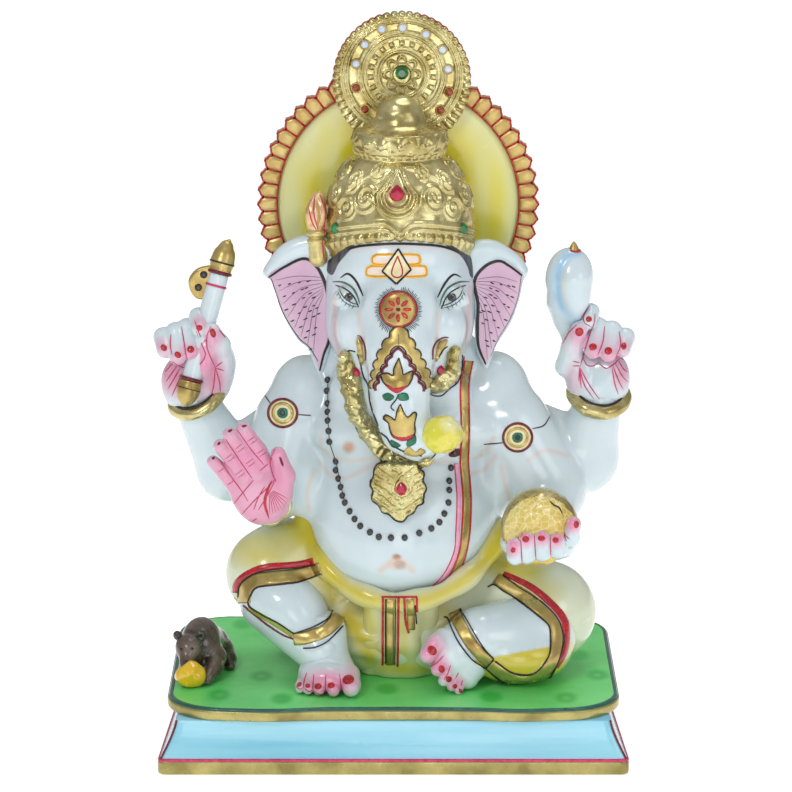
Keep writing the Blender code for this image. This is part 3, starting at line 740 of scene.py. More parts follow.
def ear(name, node_name, flap, skin, side, dark):
    """A pink-lined ear of thin stone, with the white fold of its upper edge in front."""
    box_low, box_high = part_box(node_name)
    clay = Clay((box_low.x / UNIT - 8, -22, 222), (box_high.x / UNIT + 8, 24, 342), 1.0)
    inner = 4 + 46 * side
    lining = spline(skin, 3.0, closed=True)
    clay.leaf(lining, lambda x, z: -7 + 0.12 * np.abs(x - inner) + 0 * z, 3.4, 3.0)
    fold = spline(flap, 3.0, closed=True)
    clay.leaf(fold, lambda x, z: -8 + 0.06 * np.abs(x - inner) + 0 * z, 6.0, 5.5, 3.0)
    points, faces = clay.mesh()
    keep_surface(name, points, faces)
    wash = Wash(points, faces)
    lining_seen = spline(dark, 3.0, closed=True)
    inside = -polygon_distance(wash.x, wash.z, lining_seen)
    weight = np.clip(inside * 1.2 + 0.6, 0, 1) * wash.front
    wash.lay(weight, "#c79dbb")
    wash.lay(weight * np.clip(0.5 - inside / 26, 0, 0.5), "#e6cbdc")
    return add_piece(name, points, faces, MARBLE, (node_name,), "marble", wash=wash.rgba)


EAR_RIGHT_LINING = ((-76.5, 306), (-66.5, 312.5), (-55, 317.5), (-47.5, 313), (-42.5, 303.5), (-39.5, 282),
                    (-39.5, 267.5), (-43.5, 257), (-45.5, 247), (-51.5, 262), (-58, 267.5), (-67, 283.5))
EAR_LEFT_LINING = ((78.5, 308), (71, 313), (64.5, 316), (56, 312.5), (49.5, 303.5), (52, 289), (51.5, 276),
                   (52, 262.5), (57, 251), (61.5, 262), (71.5, 278.5), (76.5, 293))


def plane_points(points, y):
    """Points of the painter's plane carried along the line of sight to depth y, as (x, z)."""
    return np.array([at(x, z, y)[[0, 2]] for x, z in points])


def build_ears():
    ear("right_ear_marble", "right_ear",
        plane_points(((-80, 309), (-76, 317), (-69.5, 325), (-60, 330.5), (-48, 333), (-36, 328), (-36, 306),
                      (-42, 305), (-47.5, 313), (-55, 318), (-66.5, 313), (-77, 306)), -7),
        plane_points(((-80, 309), (-66, 322), (-50, 326), (-38, 318), (-38.2, 290), (-38.4, 266),
                      (-42.5, 250), (-44.5, 244), (-47, 245), (-52.5, 261), (-59, 266.5), (-68, 282.5),
                      (-75, 303)), -5),
        -1, EAR_RIGHT_LINING)
    ear("left_ear_marble", "left_ear",
        plane_points(((83, 310), (79, 317), (74, 322), (62, 329), (50, 329), (40, 322), (42, 306), (49, 303),
                      (56, 313), (64.5, 317), (72, 313.5), (79, 307)), -7),
        plane_points(((82, 309), (70, 322), (52, 325), (47, 314), (49.5, 290), (50.5, 264), (55, 250),
                      (57.5, 247), (59, 248), (63, 262), (72.5, 277.5), (77.5, 292), (80, 304)), -5),
        1, EAR_LEFT_LINING)


def on_surface(targets, x, z, out=0.0):
    """The point seen at (x, z) of the painter's plane, moved out along the surface's normal."""
    hit = cast(targets, x, z, "view")
    return hit[0] + hit[1] * out


def build_tusks():
    for name, path in (("right_tusk", ((-21.6, 267.4, 0.9), (-20.2, 264, 1.8), (-19.2, 259, 1.9),
                                       (-18.9, 254, 1.3), (-19.2, 251, 0.7))),
                       ("left_tusk", ((32.4, 266, 1.2), (29.2, 263.6, 2.2), (27.0, 260, 2.3),
                                      (26.0, 256, 1.5), (25.9, 253.5, 0.7)))):
        beads = [(*on_surface(("head",), x, z, 0.8), r) for x, z, r in path]
        spots = np.array(beads)[:, :3]
        clay = Clay(spots.min(0) - 5, spots.max(0) + 5, 0.45)
        clay.chain(beads, 2.0)
        points, faces = clay.mesh()
        keep_surface(name, points, faces)
        add_piece(name + "_gold", points, faces, GOLD_PAINT, (name,), "gold_leaf")


# ---------------------------------------------------------------- crown and halo

CROWN_AXIS = (4.0, 0.0)
CROWN_DEPTH = 0.86


def curl(u, v, cu, cv, reach, turn=1, width=1.0):
    """A raised spiral round (cu, cv)."""
    du, dv = (u - cu) * turn, v - cv
    rho = np.sqrt(du * du + dv * dv)
    pitch = reach / 1.9
    phase = rho / pitch - np.arctan2(dv, du) / (2 * math.pi)
    gap = np.abs(phase - np.round(phase)) * pitch
    return ridge(gap, width) * np.clip((reach - rho) / 1.5, 0, 1)


def drop_distance(u, v, cu, cv, scale):
    """How far out a point lies on a teardrop with its tip up, 1 on the drop itself."""
    du, dv = np.abs(u - cu), v - cv
    up = np.clip(dv, 0, None)
    return np.sqrt((du * (1 + up * 0.09)) ** 2 + np.where(dv > 0, dv * 0.62, dv) ** 2) / scale


def crown_relief(points):
    """Height of the embossing on the dome, in millimetres."""
    angle = np.arctan2(points[:, 0] - CROWN_AXIS[0], -(points[:, 1] - CROWN_AXIS[1]) / CROWN_DEPTH)
    u, v = angle * 46, points[:, 2]
    hem = 322.6 - 15 * (1 - np.cos(np.clip(angle, -1.35, 1.35) * 1.16)) * 0.75
    hem = np.where(np.abs(angle) > 1.35, 302, hem)
    rise = v - hem
    rib = 0.5 + 0.5 * np.cos(u * 2 * math.pi / 6.4)
    tall = ridge(rise - 4.4, 3.0) * (0.25 + 0.75 * rib ** 0.7) * 1.9
    dip = 5.5 * np.exp(-(u / 5.5) ** 2)
    for offset, width, height in ((9.6, 1.1, 1.2), (13.2, 1.3, 1.5)):
        tall += ridge(rise - offset + dip, width) * height
    body = np.clip((rise - 16 + dip) / 2, 0, 1) * np.clip((371 - v) / 3, 0, 1)
    frame_drop = drop_distance(u, v, -1.8, 353, 9.6)
    inside = (frame_drop < 1.75) & (np.abs(angle) < 1)
    drop = ridge((frame_drop - 0.95) * 9.6, 1.2) * 1.6 + ridge((frame_drop - 1.42) * 9.6, 1.2) * 1.7
    scrolls = np.zeros(len(points))
    for sign in (-1, 1):
        for cu, cv, reach, way in ((24, 350, 9.5, 1), (19, 366, 6.5, -1), (38, 343, 8.5, -1), (38, 359, 8, 1),
                                   (55, 349, 9.5, -1), (56, 364, 6.5, 1), (73, 346, 9.5, 1), (72, 362, 7, -1),
                                   (91, 349, 9.5, -1), (90, 363, 7, 1), (108, 346, 9.5, 1),
                                   (125, 350, 9.5, -1), (124, 364, 7, 1), (140, 348, 9, -1)):
            scrolls += curl(u, v, sign * cu, cv, reach, way * sign, 1.5)
    arch = ridge(np.sqrt((u * 0.66) ** 2 + ((v - 333) * 0.9) ** 2) - 32, 1.3) * np.clip((v - 340) / 4, 0, 1)
    tall += body * np.where(inside, drop, np.clip(scrolls, 0, 1.2) * 1.7 + 1.4 * arch * (np.abs(angle) < 1.1))
    tall += np.clip((v - 371.5) / 2, 0, 1) * 0.9 * (0.5 + 0.5 * np.cos(u * 0.8))
    return tall * 1.1 + 0.08 * lumps(points, 6.0, 3)


def build_crown():
    clay = Clay((-50, -48, 296), (58, 48, 380), 0.72)
    profile = ((46.0, 299.5), (47.4, 316), (46.8, 332), (44.2, 346), (39.2, 358), (33, 367), (28, 371),
               (28.5, 374), (28.6, 377.5))
    clay.turned((*CROWN_AXIS, 0), profile, CROWN_DEPTH)
    clay.ball((4, -52, 296), (38.5, 42, 30.2), 2, mode="cut")
    points, faces = clay.mesh()
    smooth_points = points
    points = points + normals_of(points, faces) * crown_relief(points)[:, None] * \
        np.clip((points[:, 2] - 300) / 2, 0, 1)[:, None] * \
        (np.hypot(points[:, 0] - 4, points[:, 1] / CROWN_DEPTH) > 24)[:, None]
    keep_surface("crown", smooth_points, faces)
    add_piece("crown_gold", points, faces, GOLD, ("crown",), "gold_leaf")


def build_knob():
    c = middle("crown_knob")
    clay = Clay((c[0] - 31, -31, 373), (c[0] + 31, 31, 412), 0.7)
    profile = ((26.5, 374.2), (28.6, 377), (28.6, 384), (26.5, 387.6), (20.5, 389.4), (17, 391.6),
               (15.6, 395), (14.4, 400), (11.6, 404.6), (7.6, 407.8), (3.6, 409.4), (0, 409.9))
    clay.turned((c[0], 0, 0), profile, 0.9)
    points, faces = clay.mesh(2)
    radius = np.hypot(points[:, 0] - c[0], points[:, 1])
    band = np.clip((388 - points[:, 2]) / 1.5, 0, 1) * (radius > 20)
    angle = np.arctan2(points[:, 0] - c[0], -points[:, 1])
    pearls = 0.5 * (lumps(points, 8, 21) > 0.3)
    bosses = ridge(points[:, 2] - 380.8, 3.4) * np.cos(angle * 7.5) ** 2 * 1.2 + pearls
    rims = ridge(points[:, 2] - 375.8, 1.3) * 0.8 + ridge(points[:, 2] - 386.0, 1.3) * 0.8
    height = band * (bosses * 1.5 + rims) + 0.1 * lumps(points, 7, 8)
    points = points + normals_of(points, faces) * height[:, None]
    add_piece("crown_knob_gold", points, faces, GOLD, ("crown_knob",), "gold_leaf")


def polar_plate(centre, radii, front, back, relief, around):
    """A round plate with relief(r, angle, share) on its front. radii is (hole, rim, number of rings)."""
    angles = np.arange(around) * 2 * math.pi / around
    rings = []
    hole = radii[0](angles) if callable(radii[0]) else np.full(around, float(radii[0]))
    rim = radii[1](angles) if callable(radii[1]) else np.full(around, float(radii[1]))
    count = radii[2]
    for i in range(count):
        share = i / (count - 1)
        r = hole + (rim - hole) * share
        edge = 0.8 * (max(0.0, (share - 0.96) / 0.04)) + (0.8 * max(0.0, 1 - share / 0.04) if radii[0] else 0)
        y = front + edge - relief(r, angles, share)
        rings.append(np.stack([centre[0] + r * np.sin(angles), y + 0 * r, centre[2] + r * np.cos(angles)], 1))
    for share in (1.0, 0.0):
        r = hole + (rim - hole) * share
        rings.append(np.stack([centre[0] + r * np.sin(angles), np.full(around, float(back)),
                               centre[2] + r * np.cos(angles)], 1))
    points = np.vstack(rings)
    total = len(rings)
    j = np.arange(around)
    k = (j + 1) % around
    faces = []
    for i in range(total if radii[0] else total - 1):
        a, b = i * around, ((i + 1) % total) * around
        faces.append(np.stack([a + j, a + k, b + k, b + j], 1))
    faces = np.vstack(faces)
    return points, faces


HALO_TEETH = 58
HALO_NOTCH = 3.8
HALO_BORDER = 13.2
HALO_LINE_Y = 36.9


def tooth(angle, count):
    """0 in the notch between two teeth and 1 at the point of one."""
    t = np.abs(((angle * count / (2 * math.pi)) % 1.0) - 0.5) * 2
    return 1 - t


def build_halo():
    c = middle("halo_border")
    low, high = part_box("halo_border")
    reach = (high.x - low.x) / 2 / UNIT

    def rim(a):
        lobe = tooth(a, HALO_TEETH)
        return reach - HALO_NOTCH + HALO_NOTCH * (0.5 * np.clip(lobe * 2.6, 0, 1) + 0.5 * lobe ** 3)

    def bulge(r, a, s):
        if not 0 < s < 1:
            return 0.0
        return 1.1 * np.clip(tooth(a, HALO_TEETH) * 2.2, 0, 1) * math.sin(math.pi * min(1, s * 1.02)) ** 0.5

    points, faces = polar_plate(c, (reach - HALO_BORDER, rim, 12), 37.4, 46.8, bulge, HALO_TEETH * 12)
    keep_surface("halo_border", points, faces)
    add_piece("halo_border_gold", points, faces, PETAL_GOLD, ("halo_border",), "gold_leaf")
    dome = lambda r, a, s: 0.8 * (1 - s * s)
    points, faces = polar_plate(c, (0.0, reach - 13.0, 46), 38.6, 46.9, dome, 240)
    keep_surface("halo_plate", points, faces)
    wash = Wash(points, faces)
    r = np.hypot(points[:, 0] - c[0], points[:, 2] - c[2])
    streak = 0.5 + 0.5 * lumps(points * np.array([1, 1, 0.25]), 22, 31)
    wash.lay(np.full(len(points), 0.3), "#e2e070")
    wash.lay(np.clip((82 - r) / 24, 0, 1) * (0.6 + 0.4 * streak), "#e0d834")
    wash.lay(np.clip(1.0 - np.abs(r - 52) / 18, 0, 1) * np.clip(streak * 1.3 - 0.3, 0, 1) * 0.6, "#dccb12")
    add_piece("halo_plate_marble", points, faces, CLOTH, ("halo_plate",), "yellow_paint", wash=wash.rgba)
    lines = []
    step = 2 * math.pi / HALO_TEETH
    for i in range(HALO_TEETH):
        a = (i + 0.5) * step - step / 2
        outer, inner = reach - 3.4, reach - 12.4
        lines.append(radial_line(c, a, inner, outer, 0.55, HALO_LINE_Y))
        for t in (0.0, 0.5):
            b0, b1 = a + t * step, a + (t + 0.5) * step
            lines.append(edge_line(c, b0, b1, rim, 0.6, HALO_LINE_Y))
    lines.append(ring_line(c, reach - 12.6, 0.7, 37.0))
    paint("halo_red_lines", RED, lines)


def bar(path, width, y):
    """A flat closed stroke in a plane facing forward: path of (x, z), its front at y."""
    path = np.array(path, float)
    along = np.gradient(path, axis=0)
    side = np.stack([-along[:, 1], along[:, 0]], 1)
    side /= np.linalg.norm(side, axis=1)[:, None] + 1e-9
    rows = []
    for p, s in zip(path, side):
        a, b = p - s * width, p + s * width
        rows += [(a[0], y + 0.9, a[1]), (a[0], y, a[1]), (b[0], y, b[1]), (b[0], y + 0.9, b[1])]
    faces = [[i * 4 + j, i * 4 + (j + 1) % 4, i * 4 + 4 + (j + 1) % 4, i * 4 + 4 + j]
             for i in range(len(path) - 1) for j in range(4)]
    faces += [[0, 3, 2, 1], [len(path) * 4 - 4 + j for j in range(4)]]
    return np.array(rows), faces


def radial_line(c, angle, inner, outer, width, y):
    """A flat stroke straight out from the centre c, between two radii."""
    return bar([(c[0] + r * math.sin(angle), c[2] + r * math.cos(angle)) for r in (inner, outer)], width, y)


def edge_line(c, start, end, rim, width, y):
    """A flat stroke along a toothed rim, from one angle to another."""
    angles = np.linspace(start, end, 7)
    r = rim(angles) - 0.3
    return bar(np.stack([c[0] + r * np.sin(angles), c[2] + r * np.cos(angles)], 1), width, y)


def ring_line(c, radius, width, y, count=160):
    """A flat stroke all the way round c."""
    a = np.arange(count) * 2 * math.pi / count
    rows, faces = [], []
    for t in a:
        for r, d in ((radius - width, 0.9), (radius - width, 0), (radius + width, 0), (radius + width, 0.9)):
            rows.append((c[0] + r * math.sin(t), y + d, c[2] + r * math.cos(t)))
    for i in range(count):
        k = (i + 1) % count
        faces += [[i * 4 + j, i * 4 + (j + 1) % 4, k * 4 + (j + 1) % 4, k * 4 + j] for j in range(4)]
    return np.array(rows), [f[::-1] for f in faces]


DISC_EYE_RISE = 4.2
DISC_SCALLOPS = 27
DISC_NOTCH, DISC_LINE_NOTCH = 1.6, 1.2
DISC_STONES = ((-12.6, 33.0, 0), (0.5, 33.9, 0), (15, 29.7, 0), (25.5, 20, 0), (29, 7.6, 0), (-28.8, 11, 0),
               (-23.3, 23.2, 0), (-28.8, -4.2, 1), (29.6, -6.8, 1), (24.3, -18.4, 1), (-23.3, -17.9, 1))


def disc_lobe(a):
    """1 on the outward lobes of the disc's edge and 0 between them."""
    return np.abs(np.cos(a * DISC_SCALLOPS))


def build_disc():
    c = middle("crown_disc")
    low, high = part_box("crown_disc")
    reach = (high.x - low.x) / 2 / UNIT
    rim = lambda a: reach - DISC_NOTCH + DISC_NOTCH * disc_lobe(a) ** 0.6

    def relief(r, a, s):
        x, z = r * np.sin(a), r * np.cos(a)
        slide = np.clip((reach - r) / 8, 0, 1) * DISC_EYE_RISE
        q, b = np.hypot(x, z - slide), np.arctan2(x, z - slide)
        h = ridge(q - 14.6, 0.9) * 1.2 + ridge(q - 25.2, 0.8) * 1.2 + ridge(q - 27.4, 0.7) * 0.9
        h += ridge(q - 34.4, 0.8) * 1.2 + ridge(q - 37.0, 0.7) * 0.8
        h += np.clip(1 - ((q - 19.8) / 2.3) ** 2, 0, 1) * np.clip(np.cos(b * 19) * 1.6, 0, 1) ** 0.7 * 1.3
        h += ridge(q - 23.0, 0.6) * 0.5 + ridge(q - 16.8, 0.6) * 0.5
        petal = np.abs(np.cos(b * 4))
        h += ridge(q - (7.2 + 4.2 * petal), 0.9) * 1.1 + ridge(q - 6.4, 0.7) * 0.8
        h += 0.9 * np.clip((q - 38.5) / 1.5, 0, 1) * np.clip(disc_lobe(a) * 1.3, 0, 1)
        grid = np.stack([x, 0 * x, z], 1)
        return h * 1.15 + 0.05 * lumps(grid, 5, 17)

    points, faces = polar_plate(c, (0.0, rim, 88), 28.7, 37.4, relief, 432)
    keep_surface("disc", points, faces)
    add_piece("crown_disc_gold", points, faces, GOLD, ("crown_disc",), "gold_leaf")
    for kind, finish, name in ((0, CRYSTAL, "disc_clear_stones"), (1, AMBER, "disc_amber_stones")):
        paint(name, finish, [gem((c[0] + x, 27.6, c[2] + z), 2.6, 2.6, 1.6)
                             for x, z, k in DISC_STONES if k == kind])
    settings = [ring_solid((c[0] + x, 28.0, c[2] + z), 2.9, 0.6) for x, z, k in DISC_STONES]
    paint("disc_stone_settings", GOLD_PAINT, settings, "gold_leaf")
    paint("disc_red_edge", RED, [arc_line(c, reach - 0.1, 0.5, 33.0, 15, 172),
                                 arc_line(c, reach - 0.1, 0.5, 33.0, 188, 345)])


def arc_line(c, radius, width, y, start, end):
    """A flat stroke along the lobes of the disc's edge, between two angles in degrees."""
    angles = np.radians(np.linspace(start, end, 90))
    wavy = radius - DISC_LINE_NOTCH + DISC_LINE_NOTCH * disc_lobe(angles) ** 0.6
    return bar(np.stack([c[0] + wavy * np.sin(angles), c[2] + wavy * np.cos(angles)], 1), width, y)


def ring_solid(centre, radius, thick, count=20, sides=8):
    """A round wire bent into a ring that faces forward."""
    rows, faces = [], []
    for i in range(count):
        t = i * 2 * math.pi / count
        for j in range(sides):
            s = j * 2 * math.pi / sides
            r = radius + thick * math.cos(s)
            rows.append((centre[0] + r * math.sin(t), centre[1] - thick * math.sin(s),
                         centre[2] + r * math.cos(t)))
    for i in range(count):
        k = (i + 1) % count
        faces += [[i * sides + j, i * sides + (j + 1) % sides, k * sides + (j + 1) % sides, k * sides + j]
                  for j in range(sides)]
    return np.array(rows), faces


def gem(centre, rx, rz, depth, drop=0.0, lean=0.0, count=12):
    """A cut stone facing forward: a flat table, two rows of facets and a pointed back."""
    def ring(scale, y, turn=0.0):
        out = []
        for i in range(count):
            a = (i + turn) * 2 * math.pi / count
            x, z = math.sin(a) * rx * scale, math.cos(a) * rz * scale
            if drop and z > 0:
                x *= 1 - drop * (z / rz)
            out.append((x, y, z))
        return out
    rows = ring(0.52, -depth) + ring(0.82, -depth * 0.62, 0.5) + ring(1.0, 0) + [(0, depth * 0.9, 0)]
    tilt = math.radians(lean)
    rows = [(centre[0] + x, centre[1] + y * math.cos(tilt) + z * math.sin(tilt),
             centre[2] - y * math.sin(tilt) + z * math.cos(tilt)) for x, y, z in rows]
    faces = [list(range(count))]
    for i in range(count):
        k = (i + 1) % count
        faces += [[i, count + i, k], [k, count + i, count + k], [count + i, 2 * count + k, count + k],
                  [count + i, 2 * count + i, 2 * count + k], [2 * count + i, 3 * count, 2 * count + k]]
    return np.array(rows), [f[::-1] for f in faces[1:]] + [faces[0][::-1]]


STONE_STAND = 0.5


def stone(name, finish, slot, rx, rz, depth, on, drop=0.0, lean=0.0, shift=(0, 0)):
    """A stone set where the line of sight through its CAD node meets the surfaces it sits on."""
    c = middle(name)
    x, z = seen(c[None])
    hit = cast(on, x[0] + shift[0], z[0] + shift[1], "view")
    centre = hit[0] - np.array([0, STONE_STAND, 0])
    add_piece(name + "_stone", *gem(centre, rx, rz, depth, drop, lean), finish, (name,), slot, smooth=False)


def build_stones():
    crown, chest = ("crown",), ("garland_right", "garland_left", "head", "body")
    stone("crown_ruby", RUBY, "ruby_glass", 5.0, 6.3, 2.8, crown, 0.55, -14, shift=(0, -1.0))
    stone("crown_right_emerald", EMERALD, "emerald_glass", 3.4, 4.0, 2.4, crown, 0.35)
    stone("crown_left_emerald", EMERALD, "emerald_glass", 3.4, 4.0, 2.4, crown, 0.35)
    stone("disc_emerald", EMERALD, "emerald_glass", 4.3, 4.3, 2.6, ("disc",))
    stone("garland_right_ruby", RUBY, "ruby_glass", 2.6, 3.4, 2.0, chest, 0.2, shift=(0.5, 4.0))
    stone("garland_left_ruby", RUBY, "ruby_glass", 2.6, 3.4, 2.0, chest, 0.2, shift=(-4.0, 4.0))
    stone("pendant_ruby", RUBY, "ruby_glass", 3.6, 4.6, 2.2, ("pendant",), 0.4)


def build_tassel():
    clay = Clay((-60, -26, 298), (-38, 6, 352), 0.6)
    clay.chain(((-48.5, -7, 344, 4.6), (-50, -9, 335, 6.4), (-50.5, -10, 328, 5.4)), 3, 1.2)
    clay.ball((-50.0, -11, 323.0), (6.8, 6.2, 2.8), 1)
    clay.ball((-49.8, -11.5, 318.4), (6.2, 5.8, 2.4), 0.6)
    clay.chain(((-49.2, -12, 314, 5.6), (-48.4, -12.5, 308, 6.2)), 2, 1.1)
    points, faces = clay.mesh()
    angle = np.arctan2(points[:, 0] + 50, -(points[:, 1] + 9))
    height = 0.45 * np.cos(angle * 6) * np.clip((points[:, 2] - 326) / 4, 0, 1)
    points = points + normals_of(points, faces) * height[:, None]
    points = points + (1.6, 0, 0.8)
    keep_surface("tassel", points, faces)
    wash_points = Wash(points, faces)
    wash_points.lay(np.clip((points[:, 2] - 325) / 3, 0, 1) * 0.4, "#e2a08c")
    add_piece("crown_tassel_gold", points, faces, PINK_GOLD, ("crown_tassel",), "gold_leaf",
              wash=wash_points.rgba)


def paint_tassel():
    strokes("tassel_red_lines", CRIMSON, ("tassel",), [((-45, 357), (-41.6, 347), (-42.2, 337), (-42.4, 332)),
                                                       ((-52, 350), (-50, 341), (-47, 335)),
                                                       ((-48, 357), (-48.6, 346), (-46, 335)),
                                                       ((-43.6, 329), (-43, 321), (-42.6, 316))],
            0.9, 0.35, 0.6)


# ---------------------------------------------------------------- hands and what they hold

def finger(clay, spots, radii, blend=1.2):
    """A finger through points of the painter's plane with a depth: (x, z, y)."""
    beads = [(*at(*p), r) for p, r in zip(spots, radii)]
    clay.chain(beads, blend)


def hand_piece(name, clay, node_name, shade):
    """Meshes a sculpted hand, tints it with shade and adds it as marble."""
    points, faces = clay.mesh()
    keep_surface(name, points, faces)
    wash = Wash(points, faces)
    shade(wash)
    return add_piece(name + "_marble", points, faces, MARBLE, (node_name,), "marble", wash=wash.rgba)


def paint_nails(name, on, nails):
    """Red nails, each a raised oval on a fingertip or toe."""
    paint(name, RED, [fill(on, n, 0.4, step=0.7, closed_spline=False) for n in nails])


ROSE = "#e283ab"
ROSE_DEEP = "#d05788"


def build_rear_right_hand():
    clay = Clay((-158, -34, 204), (-92, 18, 288), 0.75)
    palm = at(-123, 240, -4)
    clay.ball(palm, (21, 13, 20), turn=(0, 8, 0))
    clay.ball(at(-117, 252, -9), (9.5, 12.5, 12), 5)
    clay.ball(at(-123, 232, -4), (16.5, 12, 13), 6)
    clay.ball(at(-106, 247, -6), (8.5, 10, 17), 5, (0, 6, 0))
    clay.ball(at(-115, 261, -13), (9, 8, 9), 4)
    finger(clay, ((-139, 264, 2), (-141.5, 268, -6), (-141, 260, -15)), (6.2, 6.4, 5.2))
    finger(clay, ((-132, 268, 2), (-134, 271, -7), (-133, 256, -17)), (6.4, 6.6, 5.6))
    finger(clay, ((-125, 270, 2), (-127, 273.5, -7), (-124.5, 259, -17)), (6.4, 6.6, 5.6))
    finger(clay, ((-118, 274, 2), (-120, 281, -8), (-119.5, 273.5, -19)), (5.8, 5.8, 5.0))
    finger(clay, ((-105, 252, -6), (-107, 263, -11), (-111.5, 272, -17)), (7.6, 6.6, 5.2), 2.5)

    def shade(wash):
        wash.spot(-123, 246, 27, 24, ROSE, 0.55)
        wash.spot(-138, 243, 13, 15, ROSE_DEEP, 0.45)
        wash.spot(-109, 240, 8, 16, ROSE_DEEP, 0.5)
        wash.spot(-111, 268, 8, 9, ROSE, 0.7)
        wash.spot(-119, 277, 6, 7, ROSE, 0.6)
        wash.spot(-143, 262, 7, 8, ROSE, 0.5)
        wash.spot(-126, 258, 7, 7, ROSE, 0.5)
        wash.spot(-116, 254, 11, 13, ROSE, 0.7)

    hand_piece("rear_right_hand", clay, "rear_right_hand", shade)
    on = ("rear_right_hand",)
    lines = [((-137, 270), (-137.5, 263), (-136.5, 257)), ((-130.5, 275), (-129, 265), (-127.5, 255),
        (-124.5, 250)),
             ((-121.5, 272), (-117.5, 262), (-116, 257), (-118.5, 252), (-124, 249.5), (-130, 249),
              (-137, 253)),
             ((-122.5, 279), (-118.5, 268), (-114.5, 265.5)),
             ((-112.5, 275), (-115, 268), (-114.5, 260), (-110, 249)),
             ((-110, 249), (-105.5, 252.5)), ((-110, 248.5), (-104.5, 247)),
             ((-110, 249), (-111, 238), (-113, 230)), ((-110, 249), (-107.5, 240), (-107, 234)),
             ((-136, 252), (-141, 246)), ((-133.5, 250), (-140.5, 240)), ((-132, 248), (-139.5, 235)),
             ((-130.5, 245), (-137, 231)), ((-107.5, 273), (-103.5, 268))]
    paint("rear_right_hand_lines", CRIMSON, [strip(on, p, 0.75, 0.28, taper=0.7) for p in lines])
    nails = [oval(-141.5, 261.5, 1.9, 2.3, 30), oval(-133, 257, 1.9, 2.3, 40), oval(-125, 260.5, 2.2, 2.3),
             oval(-119.5, 274, 1.9, 1.9), oval(-111.2, 270.8, 1.8, 3.0, 15)]
    paint_nails("rear_right_hand_nails", on, nails)


def build_rear_left_hand():
    clay = Clay((94, -34, 204), (160, 18, 292), 0.75)
    clay.ball(at(127, 240, -4), (18.5, 11, 20), turn=(0, -6, 0))
    clay.ball(at(126, 232, -4), (15.5, 12, 14), 6)
    clay.ball(at(113, 247, -6), (8, 10, 16), 5, (0, -4, 0))
    clay.ball(at(135, 244, -6), (10.5, 11, 14), 5)
    finger(clay, ((141.5, 263, 2), (143, 268, -6), (141.5, 260, -15)), (5.8, 6.0, 4.8))
    finger(clay, ((133.5, 268, 2), (134.5, 272, -7), (132.5, 258, -17)), (6.3, 6.5, 5.6))
    finger(clay, ((126, 270, 2), (126, 274, -7), (123, 260, -17)), (6.4, 6.6, 5.6))
    finger(clay, ((119, 276, 2), (121.5, 284, -6), (120.5, 278, -15)), (5.4, 5.4, 4.6))
    finger(clay, ((107, 250, -6), (110, 262, -11), (114.5, 273, -17)), (7.6, 6.6, 5.4), 2.5)

    def shade(wash):
        wash.spot(124, 262, 22, 12, ROSE, 0.35)
        wash.spot(141, 246, 9, 14, ROSE_DEEP, 0.5)
        wash.spot(112, 242, 9, 14, ROSE_DEEP, 0.35)
        wash.spot(114, 270, 8, 9, ROSE, 0.6)
        wash.spot(124, 258, 7, 8, ROSE, 0.5)
        wash.spot(134, 256, 8, 8, ROSE, 0.6)
        wash.spot(143, 262, 7, 8, ROSE, 0.4)

    hand_piece("rear_left_hand", clay, "rear_left_hand", shade)
    on = ("rear_left_hand",)
    lines = [((139, 272), (140, 263), (137, 255)), ((130, 275), (129, 265), (126, 257)),
             ((120.5, 288), (117, 281), (118, 277), (122, 274.5)),
             ((124, 283), (123.5, 277), (121, 270), (117, 256), (115, 249)),
             ((117, 255), (119.5, 250.5), (123.5, 250), (127, 252.5)),
             ((126.5, 252), (131, 248.5), (136, 251), (140, 255)), ((140, 255), (144, 253)),
             ((115, 249), (121, 238), (128, 228)), ((115, 249), (118, 238), (124, 229)),
             ((115, 249), (114.5, 240)), ((115, 249), (116, 236)), ((115, 252), (110.5, 253)),
             ((115, 250), (110.5, 250)), ((135, 249), (136.5, 240), (139, 232)),
             ((135.5, 250), (139, 241), (142, 235)), ((137, 251.5), (141, 244), (144.5, 240)),
             ((139, 253), (142, 248), (145, 246)), ((104.5, 264), (108, 271), (113, 276))]
    paint("rear_left_hand_lines", CRIMSON, [strip(on, p, 0.75, 0.28, taper=0.7) for p in lines])
    nails = [oval(114.5, 271.5, 2.6, 2.8), oval(120.3, 279.5, 1.9, 1.9), oval(123, 262, 2.5, 2.3),
             oval(132.5, 259.5, 2.4, 2.5), oval(142, 262.5, 1.7, 2.4)]
    paint_nails("rear_left_hand_nails", on, nails)


